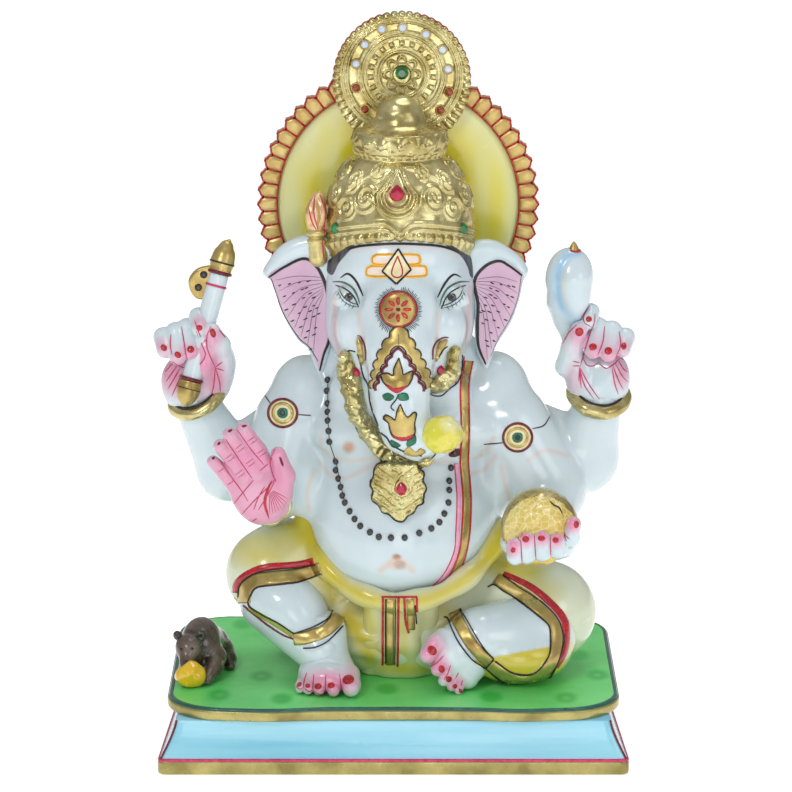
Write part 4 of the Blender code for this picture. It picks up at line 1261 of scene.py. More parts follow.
def build_front_right_hand():
    clay = Clay((-120, -88, 144), (-56, -50, 216), 0.75)
    clay.ball(at(-84.5, 171, -68), (17.5, 9.5, 20), turn=(0, -16, 0))
    clay.ball(at(-79.5, 160, -64), (14.5, 11, 11), 6)
    clay.ball(at(-73.5, 172, -70), (9, 9, 17), 5, (0, -6, 0))
    finger(clay, ((-78, 184, -70), (-84, 196, -73), (-93, 210, -74)), (5.8, 5.5, 4.6))
    finger(clay, ((-85, 182, -71), (-92, 195, -74), (-101.5, 206, -75)), (6.0, 5.6, 4.6))
    finger(clay, ((-92, 178, -70), (-99, 190, -73), (-107.5, 199, -74)), (5.8, 5.4, 4.4))
    finger(clay, ((-97, 171, -69), (-104, 181, -71), (-112, 189, -72)), (5.4, 4.9, 3.9))
    finger(clay, ((-70, 168, -72), (-67.5, 180, -75), (-71.5, 194, -77)), (7.5, 6.3, 4.6), 2.5)
    hand_piece("front_right_hand", clay, "front_right_hand", lambda wash: (
        wash.spot(-87, 178, 60, 70, "#d791ae", 0.95), wash.spot(-84, 168, 16, 14, "#e6b6cb", 0.5),
        wash.spot(-72, 180, 5, 14, "#d67aa2", 0.5), wash.spot(-88, 190, 16, 10, "#d984aa", 0.5)))
    on = ("front_right_hand",)
    long_lines = [((-109.5, 192.5), (-102, 181), (-94, 169.5), (-90.5, 163.5)),
                  ((-104, 203.5), (-96, 190.5), (-88, 178.5)), ((-96.5, 209), (-88.5, 197), (-80.5, 187)),
                  ((-100.5, 160.5), (-92, 171), (-87, 177)), ((-94.5, 155), (-86, 164.5), (-80.5, 170),
                      (-73, 178)), ((-88.5, 150), (-85, 152.5)),
                  ((-73.5, 197), (-76.5, 189), (-75, 181), (-73, 176)), ((-83, 183), (-78, 187.5)),
                  ((-84, 158), (-78, 168), (-74, 176)), ((-80, 173), (-84, 166), (-87, 158))]
    paint("front_right_palm_lines", CRIMSON, [strip(on, p, 0.7, 0.26, taper=0.5) for p in long_lines])
    creases = []
    for x, z in ((-88, 203.5), (-86.5, 201.5), (-82.5, 195.5), (-81, 193.5), (-96, 198.5), (-94.5, 196.5),
                 (-89.5, 189), (-88, 187), (-102.5, 192), (-101, 190), (-96, 182), (-94.5, 180),
                 (-107, 183.5), (-101, 175.5)):
        creases.append(strip(on, ((x - 2.4, z - 1.6), (x, z), (x + 2.2, z + 1.9)), 0.45, 0.22, taper=0.8))
    for i in range(8):
        a = math.radians(-96 + i * 11)
        creases.append(strip(on, ((-77 + 2 * math.cos(a), 171 + 2 * math.sin(a)),
                                  (-76 + 11 * math.cos(a), 170 + 15 * math.sin(a))), 0.45, 0.22, taper=0.9))
    paint("front_right_palm_creases", CRIMSON, creases)
    paint("front_right_palm_stain", RED, [strip(on, ((-77.5, 152), (-80, 162), (-78.5, 170), (-75.5, 177)),
                                                1.9, 0.3, taper=0.9)])
    nails = [((-112.5, 190.5), (-111, 192)), ((-109, 199.5), (-107.5, 201.5)), ((-102.5, 208), (-100, 209.5)),
             ((-94, 211.5), (-91, 212)), ((-70.5, 192), (-68.5, 186))]
    paint("front_right_nails", MAROON, [strip(on, n, 1.6, 0.35, step=0.5, taper=0.6) for n in nails])


def build_front_left_hand():
    clay = Clay((62, -94, 118), (122, -46, 160), 0.75)
    clay.ball((90, -64, 138), (23.5, 16, 12.5))
    clay.ball((94, -54, 142), (17, 12, 12), 5)
    for tip, low_spot, r in (((75.5, 135), (76, 127), 5.2), ((83.3, 138.5), (83.5, 128), 5.4),
                             ((92.8, 139.5), (93, 129.5), 5.4), ((102, 138), (102.5, 131), 5.2)):
        finger(clay, ((low_spot[0], low_spot[1], -68), (low_spot[0], low_spot[1] + 1, -80),
                      (tip[0], tip[1], -84.5)), (r, r, r - 0.5))
    finger(clay, ((106, 134, -62), (110, 140, -74), (112.5, 149, -80)), (7, 5.8, 4.6), 2.5)

    def shade(wash):
        for x, z in ((74.8, 134), (83, 140), (92.8, 141), (102, 140)):
            wash.spot(x, z, 5.5, 9, ROSE, 0.9)
        wash.spot(112, 149, 7, 8, ROSE, 0.9)

    hand_piece("front_left_hand", clay, "front_left_hand", shade)
    on = ("front_left_hand",)
    lines = [((79.5, 138), (80, 129), (80.5, 123)), ((87.8, 142.5), (88.5, 132), (89, 126)),
             ((97.7, 141), (98, 134), (98.3, 128)), ((70.5, 136), (72, 139.5), (76, 140.5), (79.3, 138)),
             ((79.3, 140), (82, 144.5), (86.5, 144.5), (87.8, 142.5)),
             ((88, 143), (91, 146.5), (96, 145.5), (97.7, 142)), ((97.7, 142), (101.5, 144.5), (106, 142),
                 (108, 138)), ((106.5, 152), (105.5, 147), (107, 142), (110, 139))]
    paint("front_left_hand_lines", CRIMSON, [strip(on, p, 0.75, 0.3, taper=0.6) for p in lines])
    nails = [oval(74.7, 132, 1.5, 1.8, -20), oval(82.5, 139, 2.2, 2.1), oval(92.3, 139.6, 2.3, 1.8),
             oval(101.2, 138.4, 2.0, 1.9), oval(114, 148.5, 1.7, 2.4)]
    paint_nails("front_left_hand_nails", on, nails)


def build_sweets():
    clay = Clay((62, -88, 122), (118, -46, 176), 0.8)
    clay.ball((91, -67, 148), (23.5, 16, 23))
    clay.ball((91, -60, 150), (22, 13, 22), 4)
    points, faces = clay.mesh()
    normals = normals_of(points, faces)
    lip = ridge(points[:, 1] + 66, 4.2) * (points[:, 2] > 138)
    points = points + normals * (0.9 * lip + 0.3 * lumps(points, 7, 41) * (1 - lip))[:, None]
    keep_surface("sweets", points, faces)
    wash = Wash(points, faces)
    wash.lay(np.clip(1 - (points[:, 2] - 128) / 30, 0, 1) * 0.5, "#eeb51c")
    made = add_piece("sweets_heap", points, faces, SWEET, ("sweets",), "sweet_paint", wash=wash.rgba)
    made.data.materials.append(GOLD)
    middles = points[faces].mean(1)
    gilded = (middles[:, 1] > -72) & (middles[:, 2] > 132)
    made.data.polygons.foreach_set("material_index", gilded.astype(np.int32))
    paint("sweets_dark_crack", BLACK, [strip(("sweets",), ((97, 164), (100, 161), (103, 159.5), (105.5, 155)),
                                             1.1, 0.2, taper=0.8)])


def build_small_sweets():
    for name, radii, turn in (("trunk_sweet", (13.2, 11.5, 12.0), (0, 0, 0)),
                              ("mouse_sweet", (9.4, 8, 8.2), (0, 0, 0))):
        c = middle(name)
        clay = Clay(c - 16, c + 16, 0.7)
        if name == "mouse_sweet":
            c = c + (-1.8, -1.0, 0.6)
            clay.ball(c + (0, 2, -2), (10.0, 8.5, 6), 2)
        else:
            c = c + (-2.0, 0, -1.4)
        clay.ball(c, radii, 2, turn)
        points, faces = clay.mesh()
        points = points + normals_of(points, faces) * (0.35 * lumps(points, 8, 51))[:, None]
        keep_surface(name, points, faces)
        wash = Wash(points, faces)
        if name == "trunk_sweet":
            wash.lay(np.full(len(points), 0.75), "#e0d850")
            wash.spot(25, 206, 9, 12, "#cfd22c", 0.6)
            wash.spot(36, 213, 9, 7, "#eef0c4", 0.6)
        else:
            wash.lay(np.full(len(points), 0.8), "#e6bb14")
        add_piece(name + "_yellow", points, faces, SWEET if name == "trunk_sweet" else SWEET_PLAIN, (name,),
                  "sweet_paint", wash=wash.rgba)


def build_conch():
    clay = Clay((88, -30, 228), (132, 14, 318), 0.8)
    clay.ball((110.5, -8, 297), (14.6, 12.0, 17.0), turn=(0, 4, 0))
    clay.chain(((109.5, -7, 290, 13), (108.5, -5, 279, 11.2), (109.5, -2, 268, 8.2), (112, -1, 256, 6.5)), 5)
    clay.chain(((107, -20, 266, 1.4), (102.5, -20, 275, 2.4), (100.6, -21, 288, 2.8), (102, -21, 299, 2.6),
                (107, -19.5, 308, 1.8), (111, -17.5, 311, 0.9)), 3, mode="cut")
    clay.chain(((113.5, -12, 272, 5), (114.5, -13, 283, 7), (114.5, -13, 295, 8)), 6)
    points, faces = clay.mesh()
    keep_surface("conch", points, faces)
    wash = Wash(points, faces)
    groove = ((112, 278), (104.5, 287), (100.5, 298), (101.5, 310), (106, 318.5), (113, 322))
    wash.line(groove, 3.0, "#9cc6e2", 0.9)
    wash.line(((110, 279), (106.5, 288), (104.5, 298), (106, 309)), 2.0, "#c8c4b4", 0.35)
    add_piece("conch_marble", points, faces, MARBLE, ("conch",), "marble", wash=wash.rgba)
    c = middle("conch_tip") + (1.0, 0, 3.6)
    clay = Clay(c - 8, c + 8, 0.4)
    clay.turned((c[0], c[1], 0), ((4.0, c[2] - 6.0), (3.9, c[2] - 2.4), (2.9, c[2] + 0.6), (1.5, c[2] + 3.2),
                                  (0, c[2] + 5.0)))
    points, faces = clay.mesh()
    add_piece("conch_tip_gold", points, faces, GOLD_PAINT, ("conch_tip",), "gold_leaf")
    paint("conch_tip_red_ring", RED, [collar((c[0], c[1], c[2] - 1.4), (0, 0, 1), 3.6, 1.0)])


def collar(centre, axis, radius, thick, count=28, sides=8, flat=1.0):
    """A ring round an axis."""
    axis = np.array(axis, float) / np.linalg.norm(axis)
    u = np.cross(axis, (0, 1, 0) if abs(axis[1]) < 0.9 else (1, 0, 0))
    u /= np.linalg.norm(u)
    v = np.cross(axis, u)
    rows, faces = [], []
    for i in range(count):
        t = i * 2 * math.pi / count
        out = u * math.cos(t) + v * math.sin(t)
        for j in range(sides):
            s = j * 2 * math.pi / sides
            rows.append(np.array(centre) + out * (radius + thick * math.cos(s))
                        + axis * thick * flat * math.sin(s))
    for i in range(count):
        k = (i + 1) % count
        faces += [[i * sides + j, k * sides + j, k * sides + (j + 1) % sides, i * sides + (j + 1) % sides]
                  for j in range(sides)]
    return np.array(rows), faces


def build_axe():
    butt, head_spot = np.array((-130.5, -20.5, 219)), np.array((-105.8, -1.5, 310))
    way = (head_spot - butt) / np.linalg.norm(head_spot - butt)
    spot = lambda share: butt + (head_spot - butt) * share
    clay = Clay((-140, -30, 226), (-98, 2, 300), 0.6)
    clay.limb(spot(0.12), spot(0.87), 6.1, 6.4)
    clay.merge(*clay_slab(clay, spot(0.135), way, spot(0.85)))
    points, faces = clay.mesh()
    keep_surface("axe", points, faces)
    add_piece("axe_shaft_marble", points, faces, MARBLE, ("axe_shaft",), "marble",
              wash=np.zeros((len(points), 4)))
    clay = Clay((-120, -24, 288), (-94, 6, 324), 0.5)
    clay.chain(((*spot(0.86), 7.1), (*spot(0.91), 7.2)), 0)
    clay.chain(((*spot(0.935), 7.8), (*spot(0.975), 7.0), (*spot(1.03), 4.6),
                (*(spot(1.075) + (0.8, 0, 0)), 1.2)), 1.0)
    clay.merge(*clay_slab(clay, spot(0.857), way, spot(1.3)))
    points, faces = clay.mesh(2)
    keep_surface("axe_tip", points, faces)
    add_piece("axe_tip_gold", points, faces, GOLD_PAINT, ("axe_tip",), "gold_leaf")
    clay = Clay((-142, -34, 208), (-118, -4, 236), 0.5)
    clay.chain(((*spot(0.125), 7.2), (*spot(0.07), 7.2), (*spot(0.03), 6.2), (*spot(-0.015), 2.6)), 1.5)
    clay.merge(*clay_slab(clay, spot(-0.3), way, spot(0.128)))
    points, faces = clay.mesh(2)
    keep_surface("axe_butt", points, faces)
    add_piece("axe_butt_gold", points, faces, GOLD_PAINT, ("axe_butt",), "gold_leaf")
    c = middle("axe_blade") + (0, 6.0, 0)
    outline = spline(plane_points(((-108, 312), (-115, 313), (-121.5, 310.5), (-125.7, 304.5), (-125, 298),
                                   (-121.5, 293), (-117, 292), (-113, 293.5), (-110, 299)), c[1]), 1.5,
                                   closed=True)
    clay = Clay((-138, c[1] - 6, 276), (-102, c[1] + 6, 318), 0.5)
    clay.leaf(outline, lambda x, z: c[1] + 0 * x * z, 2.2, 1.6)
    points, faces = clay.mesh()
    keep_surface("blade", points, faces)
    add_piece("axe_blade_gold", points, faces, GOLD_PAINT, ("axe_blade",), "gold_leaf")
    paint("axe_dark_rings", BLACK, [collar(spot(0.925), way, 7.5, 0.7), collar(spot(0.075), way, 7.1, 0.6)])
    paint("axe_red_rings", MAROON, [collar(spot(0.86), way, 6.9, 1.2), collar(spot(0.14), way, 6.7, 1.1)])
    paint("axe_crimson_ring", CRIMSON, [collar(spot(0.77), way, 6.1, 0.9)])
    studs = (-116.4, 307.4), (-119.8, 299.4)
    paint("axe_blade_stud_rings", BLACK, [ring_solid(at(x, z, c[1] - 2.4), 1.5, 0.9, 16) for x, z in studs])
    paint("axe_blade_studs", SLATE, [gem(at(x, z, c[1] - 2.2), 1.5, 1.5, 1.1) for x, z in studs])


def clay_slab(clay, low_point, way, high_point):
    """What merge needs to keep only the clay between two planes across a line."""
    cuts, (x, y, z) = clay.window(clay.low, clay.low + clay.grain * np.array(clay.d.shape))
    first = -((x - low_point[0]) * way[0] + (y - low_point[1]) * way[1] + (z - low_point[2]) * way[2])
    second = (x - high_point[0]) * way[0] + (y - high_point[1]) * way[1] + (z - high_point[2]) * way[2]
    return cuts, -np.maximum(first, second).astype(np.float32), 0.4, "cut"


def keep_above(clay, height):
    """Cuts off the clay that is lower than height."""
    clay.merge(*clay_slab(clay, np.array((0, 0, height)), np.array((0.0, 0, 1)), np.array((0, 0, 400.0))))


def build_bracelets():
    for name, centre, way, radius, thick in (
            ("rear_right_bracelet", middle("rear_right_bracelet") + (1.5, 0, 3.2), (-18, -22, 42), 15.4, 4.6),
            ("rear_left_bracelet", middle("rear_left_bracelet") + (-1, 0, 4.6), (5, -22, 38), 16.2, 4.8),
            ("front_right_bracelet", middle("front_right_bracelet") + (3.5, 0, 6), (-2, -40, 4), 12.6, 3.2)):
        rows, faces = collar(centre, way, radius, thick, 96, 24, 0.9)
        rows = rows + normals_of(rows, np.array(faces))[:] * (0.16 * lumps(rows, 9, 61))[:, None]
        keep_surface(name, rows, np.array(faces))
        add_piece(name + "_gold", rows, np.array(faces), GOLD, (name,), "gold_leaf")
    for name, shift, way in (("rear_right_bracelet", (1.5, 0, 3.2), (-18, -22, 42)),
                             ("rear_left_bracelet", (-1, 0, 4.6), (5, -22, 38))):
        axis, centre = np.array(way) / np.linalg.norm(way), middle(name) + shift
        paint(name + "_dark_edges", BLACK, [collar(centre + axis * 4.2, way, 14.8, 0.9, 60),
                                            collar(centre - axis * 4.4, way, 15.2, 0.8, 60)])


# ---------------------------------------------------------------- garland and pendant

def build_garland():
    chains = (("garland_right", 3.0, ((-28, 257, 4.4), (-26.8, 248.2, 5.8), (-25.6, 240.7, 6.0),
                                      (-23.8, 233.2, 6.0), (-22.2, 225.7, 5.8), (-19.6, 217.4, 5.8),
                                      (-15.8, 209.1, 5.6), (-10.2, 201.5, 5.6), (-3.4, 194.8, 5.2),
                                      (5.1, 190.4, 4.6), (13.2, 189.2, 3.8), (19.8, 190.8, 2.6),
                                      (24.4, 193.2, 1.2))),
              ("garland_left", 2.0, ((36.6, 260, 3.4), (35.4, 254.2, 4.4), (33.8, 246.7, 4.8),
                                     (30.4, 240.4, 4.5), (26.2, 236.6, 3.8), (22.4, 237.6, 1.8))))
    for name, out, path in chains:
        beads = [(*on_surface(("body", "head"), x, z, out), r) for x, z, r in path]
        low, high = np.array(beads)[:, :3].min(0) - 9, np.array(beads)[:, :3].max(0) + 9
        clay = Clay(low, high, 0.6)
        clay.chain(beads, 3, 1.35)
        points, faces = clay.mesh()
        height = 0.55 * lumps(points, 9, 71) + 0.22 * lumps(points, 4.2, 72)
        points = points + normals_of(points, faces) * height[:, None]
        keep_surface(name, points, faces)
        add_piece(name + "_gold", points, faces, GOLD, (name,), "gold_leaf")


def build_pendant():
    c = middle("pendant")
    outline = [(-7.5, 189), (-11.5, 185.5), (-12.5, 180), (-14.5, 175), (-12.8, 170), (-13.5, 164.5),
               (-9.5, 161), (-7, 156.5), (-3, 155), (1.5, 151), (6, 150.5), (9, 154), (12.5, 156),
               (15, 160.5), (18.5, 162.5), (19, 168), (20.5, 172), (18.5, 177), (19, 182), (15.5, 185),
               (13.5, 189)]
    curve = spline(plane_points(outline, c[1]), 1.0, closed=True)
    clay = Clay((c[0] - 24, c[1] - 14, c[2] - 28), (c[0] + 24, c[1] + 12, c[2] + 26), 0.6)
    clay.leaf(curve, lambda x, z: c[1] + 0.22 * (z - c[2]) * -1 + 0 * x + 0.008 * (x - c[0]) ** 2, 4.0, 2.2)
    points, faces = clay.mesh()
    x, z = points[:, 0] - c[0], points[:, 2] - c[2]
    rib = ridge(x, 1.1) * (z < 2) * 1.0
    veins = sum(ridge((z - k) * 0.78 - np.abs(x) * 0.62, 0.9) for k in (-17, -11, -5, 1, 7, 13))
    veins = veins * np.clip(np.abs(x) / 2, 0, 1)
    edge = -polygon_distance(points[:, 0], points[:, 2], curve)
    drop = drop_distance(x, z, 0, 4.0, 5.6)
    height = np.where(drop < 1.35, ridge((drop - 1.0) * 5.6, 0.9) * 1.2,
                      rib + veins * 0.9 + ridge(edge - 1.2, 1.0) * 0.6)
    height = height * (normals_of(points, faces)[:, 1] < -0.3) + 0.3 * lumps(points, 4, 81)
    points = points + normals_of(points, faces) * height[:, None]
    keep_surface("pendant", points, faces)
    add_piece("pendant_gold", points, faces, GOLD, ("pendant",), "gold_leaf")
    paint("pendant_dark_edge", BLACK, [strip(("body", "pendant"), outline + [outline[0]], 1.0, 0.5)])


# ---------------------------------------------------------------- legs, seat and mouse

YELLOW = "#cdbb10"
SEAT_TOP, CLOTH_FOOT = 41.3, 41.2


def build_cloth():
    clay = Clay((-112, -70, 40), (134, 74, 162), 1.3)
    clay.ball((6, 24, 80), (80, 46, 44))
    clay.ball((6, -8, 68), (56, 40, 33), 10)
    clay.limb((-30, 10, 92), (-78, -10, 103), 34, 29, 10)
    clay.limb((40, 12, 84), (97, -12, 78), 34, 32.5, 10)
    clay.ball((-66, -4, 122), (20, 22, 14), 10, (0, -12, 0))
    roll = [(-55, 160, 0), (-53, 146, -16), (-48, 132, -29), (-38, 117, -42), (-22, 104.5, -51), (1, 98, -55),
            (26, 102, -52), (46, 114.5, -42), (60, 131, -27), (67, 148, -8)]
    smooth_roll = spline([p[:2] for p in roll], 3.0)
    depth = np.interp(np.linspace(0, 1, len(smooth_roll)), np.linspace(0, 1, len(roll)), [p[2] for p in roll])
    clay.chain([(*at(p[0], p[1], y),
                 5.8 + 0.9 * math.sin(i * 0.55)) for i, (p, y) in enumerate(zip(smooth_roll, depth))], 3)
    keep_above(clay, CLOTH_FOOT)
    points, faces = clay.mesh(2)
    x, z = seen(points)
    folds = (np.sin((z - 0.25 * np.abs(x)) * 0.55) * np.clip((100 - z) / 20, 0, 1)
             * np.clip(1 - np.abs(x + 18) / 24, 0, 1))
    points = points + normals_of(points, faces) * (0.8 * folds)[:, None]
    keep_surface("cloth", points, faces)
    wash = Wash(points, faces)
    wash.spot(-54, 150, 26, 26, YELLOW, 0.9)
    wash.spot(-44, 128, 22, 26, YELLOW, 0.5)
    wash.spot(-84, 134, 30, 16, YELLOW, 0.6)
    wash.spot(-74, 124, 34, 9, YELLOW, 0.35)
    wash.spot(80, 122, 22, 18, YELLOW, 0.8)
    wash.spot(92, 104, 18, 14, YELLOW, 0.45)
    wash.spot(66, 132, 16, 20, YELLOW, 0.8)
    wash.line(((-55, 158), (-51, 138.5), (-40, 118), (-24, 104.5), (1, 97), (26, 101.5), (47, 114.5),
               (63, 134), (67, 147)), 5.5, YELLOW, 0.85)
    wash.line(((-42, 110), (-34, 96), (-26, 84), (-18, 74), (-14, 60)), 6, YELLOW, 0.85)
    wash.spot(-20, 84, 15, 30, YELLOW, 0.5)
    wash.spot(30, 88, 20, 12, YELLOW, 0.5)
    wash.spot(-34, 94, 5, 6, "#f3f1d2", 0.7)
    wash.spot(-14, 79, 8, 3.5, "#f6f3d8", 0.7)
    wash.spot(-12, 70, 6, 3, "#f6f3d8", 0.6)
    wash.spot(108, 62, 9, 20, YELLOW, 0.4)
    back = np.clip(normals_of(points, faces)[:, 1], 0, 1)
    wash.lay(back * np.clip(0.35 + 0.4 * lumps(points, 40, 91), 0, 1) * 0.7, YELLOW)
    add_piece("yellow_cloth", points, faces, CLOTH, ("lap_drape", "right_thigh", "left_thigh"),
              "yellow_paint", wash=wash.rgba)


def build_front_fall():
    clay = Clay((-26, -66, 41), (40, -6, 104), 0.8)
    clay.ball((6, -30, 66), (24, 14, 30))
    for x, y, radius in ((-13, -30, 7.0), (-2, -34, 7.6), (11, -34, 7.6), (22, -29, 7.2)):
        clay.chain(((x * 0.95 + 0.5, y - 12, 94, radius), (x, y - 7, 66, radius),
                    (x * 1.05, y + 5, 44, radius + 0.4)), 5)
    keep_above(clay, SEAT_TOP)
    points, faces = clay.mesh()
    keep_surface("fall", points, faces)
    wash = Wash(points, faces)
    wash.lay(np.full(len(points), 0.35), YELLOW)
    wash.line(((-16, 92), (-14, 76), (-12, 60)), 4, YELLOW, 0.6)
    wash.line(((4, 96), (6, 76), (6, 56)), 4, YELLOW, 0.5)
    wash.line(((-6, 56), (10, 54), (26, 56)), 4, YELLOW, 0.7)
    add_piece("front_cloth_fall", points, faces, CLOTH, ("front_fall",), "yellow_paint", wash=wash.rgba)


def build_shins():
    clay = Clay((-104, -76, 42), (-28, -4, 122), 1.0)
    clay.limb((-74, -26, 90), (-47, -50, 64), 24, 15.5)
    clay.ball((-66, -34, 88), (24, 20, 18), 6, (0, 20, 0))
    points, faces = clay.mesh()
    keep_surface("right_shin", points, faces)
    add_piece("right_shin_marble", points, faces, MARBLE, ("right_shin",), "marble",
              wash=np.zeros((len(points), 4)))
    clay = Clay((34, -82, 41), (120, -12, 100), 1.0)
    clay.limb((89, -32, 68), (55, -48, 70), 27, 21)
    clay.ball((79, -44, 60), (32, 25, 19), 5)
    keep_above(clay, SEAT_TOP)
    points, faces = clay.mesh()
    keep_surface("left_shin", points, faces)
    wash = Wash(points, faces)
    wash.lay(np.clip((63.5 - wash.z + (wash.x - 65) * 0.19) / 1.5, 0, 1) * wash.front, "#cfc040")
    wash.lay(np.clip((wash.x - 101 + (wash.z - 80) * 0.2) / 3, 0, 1) * 0.6, "#e0dfc0")
    add_piece("left_shin_marble", points, faces, MARBLE, ("left_shin",), "marble", wash=wash.rgba)


def toe(clay, spots, radii):
    """A toe through points (x, y, z), with a radius at each."""
    clay.chain([(*p, r) for p, r in zip(spots, radii)], 1.4)


def build_feet():
    clay = Clay((-68, -90, 41), (-14, -26, 84), 0.75)
    clay.limb((-44, -46, 74), (-42, -50, 56), 14.5, 14)
    clay.ball((-41, -60, 51), (19, 17, 11), 8)
    clay.ball((-43, -40, 50), (13, 12, 10), 6)
    for x, z, r, reach in ((-26.5, 47.6, 6.1, 78), (-37.5, 46.4, 4.6, 78), (-46.5, 46.2, 4.1, 76.5),
                           (-53.5, 45.6, 3.5, 74.5), (-58.8, 45.2, 3.0, 72)):
        toe(clay, ((x * 0.94 - 2, -60, z + 3), (x, -reach + 5, z), (x, -reach, z - 0.4)), (r, r, r * 0.86))
    keep_above(clay, SEAT_TOP)
    points, faces = clay.mesh()
    keep_surface("right_foot", points, faces)
    wash = Wash(points, faces)
    wash.spot(-42, 44, 24, 13, ROSE, 0.85)
    wash.spot(-24, 52, 8, 14, ROSE, 0.4)
    add_piece("right_foot_marble", points, faces, MARBLE, ("right_foot",), "marble", wash=wash.rgba)
    on = ("right_foot",)
    lines = [((-34, 51), (-33, 44), (-32, 37)), ((-42.5, 51), (-42.8, 45), (-42.8, 38)),
             ((-50, 51), (-50.5, 46), (-51, 40)), ((-54.5, 52), (-56, 47), (-56.8, 42)),
             ((-33, 38), (-28, 34.5), (-23, 36.5), (-20, 42), (-20.5, 52)),
             ((-42.5, 38), (-38, 35.5), (-34, 38)), ((-50.5, 40), (-46.5, 37.5), (-43, 39)),
             ((-56, 42), (-53.5, 39.5), (-51, 40.5)), ((-61.5, 43), (-59, 41), (-57, 42))]
    paint("right_foot_lines", CRIMSON, [strip(on, p, 0.7, 0.26, taper=0.6) for p in lines])
    nails = [oval(-28.5, 47.3, 3.8, 3.2, 15), oval(-39.2, 43.6, 2.3, 2.1, 15),
             oval(-47.5, 42.9, 2.3, 2.0, 20), oval(-54, 43.3, 1.6, 1.5), oval(-59.3, 44.2, 1.3, 1.9, -40)]
    paint_nails("right_foot_nails", on, nails)
    clay = Clay((10, -84, 41), (66, -34, 86), 0.75)
    clay.limb((30, -58, 68), (52, -49, 74), 10, 16)
    clay.limb((46, -62, 50), (52, -52, 62), 8, 14, 6)
    clay.ball((36, -60, 62), (15, 12, 15), 6, (0, 40, 0))
    for a, b, r in (((27, 71), (21.5, 63.5), 6.2), ((31, 62), (27.5, 53.5), 4.7),
                    ((35.5, 55), (31.5, 46.5), 4.1), ((39.5, 50), (36.5, 42.5), 3.4),
                    ((43, 47), (41, 39.5), 2.9)):
        toe(clay, (at(a[0] + 4, a[1] + 4, -60), at(a[0], a[1], -66), at(b[0], b[1], -71)), (r, r, r * 0.85))
    keep_above(clay, SEAT_TOP)
    points, faces = clay.mesh()
    keep_surface("left_foot", points, faces)
    wash = Wash(points, faces)
    wash.spot(24, 66, 12, 16, ROSE, 0.8)
    wash.spot(30, 54, 9, 10, ROSE, 0.8)
    wash.spot(39, 44, 9, 8, ROSE, 0.75)
    add_piece("left_foot_marble", points, faces, MARBLE, ("left_foot",), "marble", wash=wash.rgba)
    on = ("left_foot",)
    lines = [((31.5, 63), (27, 58), (22.5, 56)), ((36, 57), (34, 51), (31.5, 47)), ((41, 52), (39, 48)),
             ((43.5, 47), (42.5, 43))]
    paint("left_foot_lines", CRIMSON, [strip(on, p, 0.7, 0.26, taper=0.6) for p in lines])
    nails = [oval(24.3, 66.5, 2.7, 3.4, 35), oval(30.3, 54.3, 2.0, 2.6, 10), oval(34.8, 47.6, 2.0, 2.1),
             oval(38.7, 43, 1.5, 1.6), oval(42.6, 39.5, 1.2, 2.2, 35)]
    paint_nails("left_foot_nails", on, nails)


def rect_points(half_x, half_y, corner, step):
    """Evenly spaced points anticlockwise round a rectangle with circular corners."""
    pieces = []
    for k, (sx, sy) in enumerate(((1, -1), (1, 1), (-1, 1), (-1, -1))):
        cx, cy = sx * (half_x - corner), sy * (half_y - corner)
        start = math.radians(-90 + 90 * k)
        n = max(4, int(corner * math.pi / 2 / step))
        t = start + np.linspace(0, math.pi / 2, n)
        pieces.append(np.stack([cx + corner * np.cos(t), cy + corner * np.sin(t)], 1))
    ring = np.vstack(pieces)
    out = [ring[0]]
    for a, b in zip(ring, np.roll(ring, -1, axis=0)):
        n = max(1, int(np.linalg.norm(b - a) / step))
        for i in range(1, n + 1):
            out.append(a + (b - a) * i / n)
    return np.array(out[:-1])


def loft(rings, closed_ends=True):
    """A skin through rings with the same number of points, closed at both ends."""
    n = len(rings[0])
    faces = []
    for i in range(len(rings) - 1):
        for j in range(n):
            k = (j + 1) % n
            faces.append([i * n + j, i * n + k, (i + 1) * n + k, (i + 1) * n + j])
    if closed_ends:
        faces.append(list(range(n))[::-1])
        faces.append([(len(rings) - 1) * n + j for j in range(n)])
    return np.vstack(rings), faces


def level(outline, z):
    """Points (x, y) as points at height z."""
    return np.column_stack([outline, np.full(len(outline), float(z))])


PLINTH_BACK_TAPER = 0.07
PLINTH_NECK = 0.925


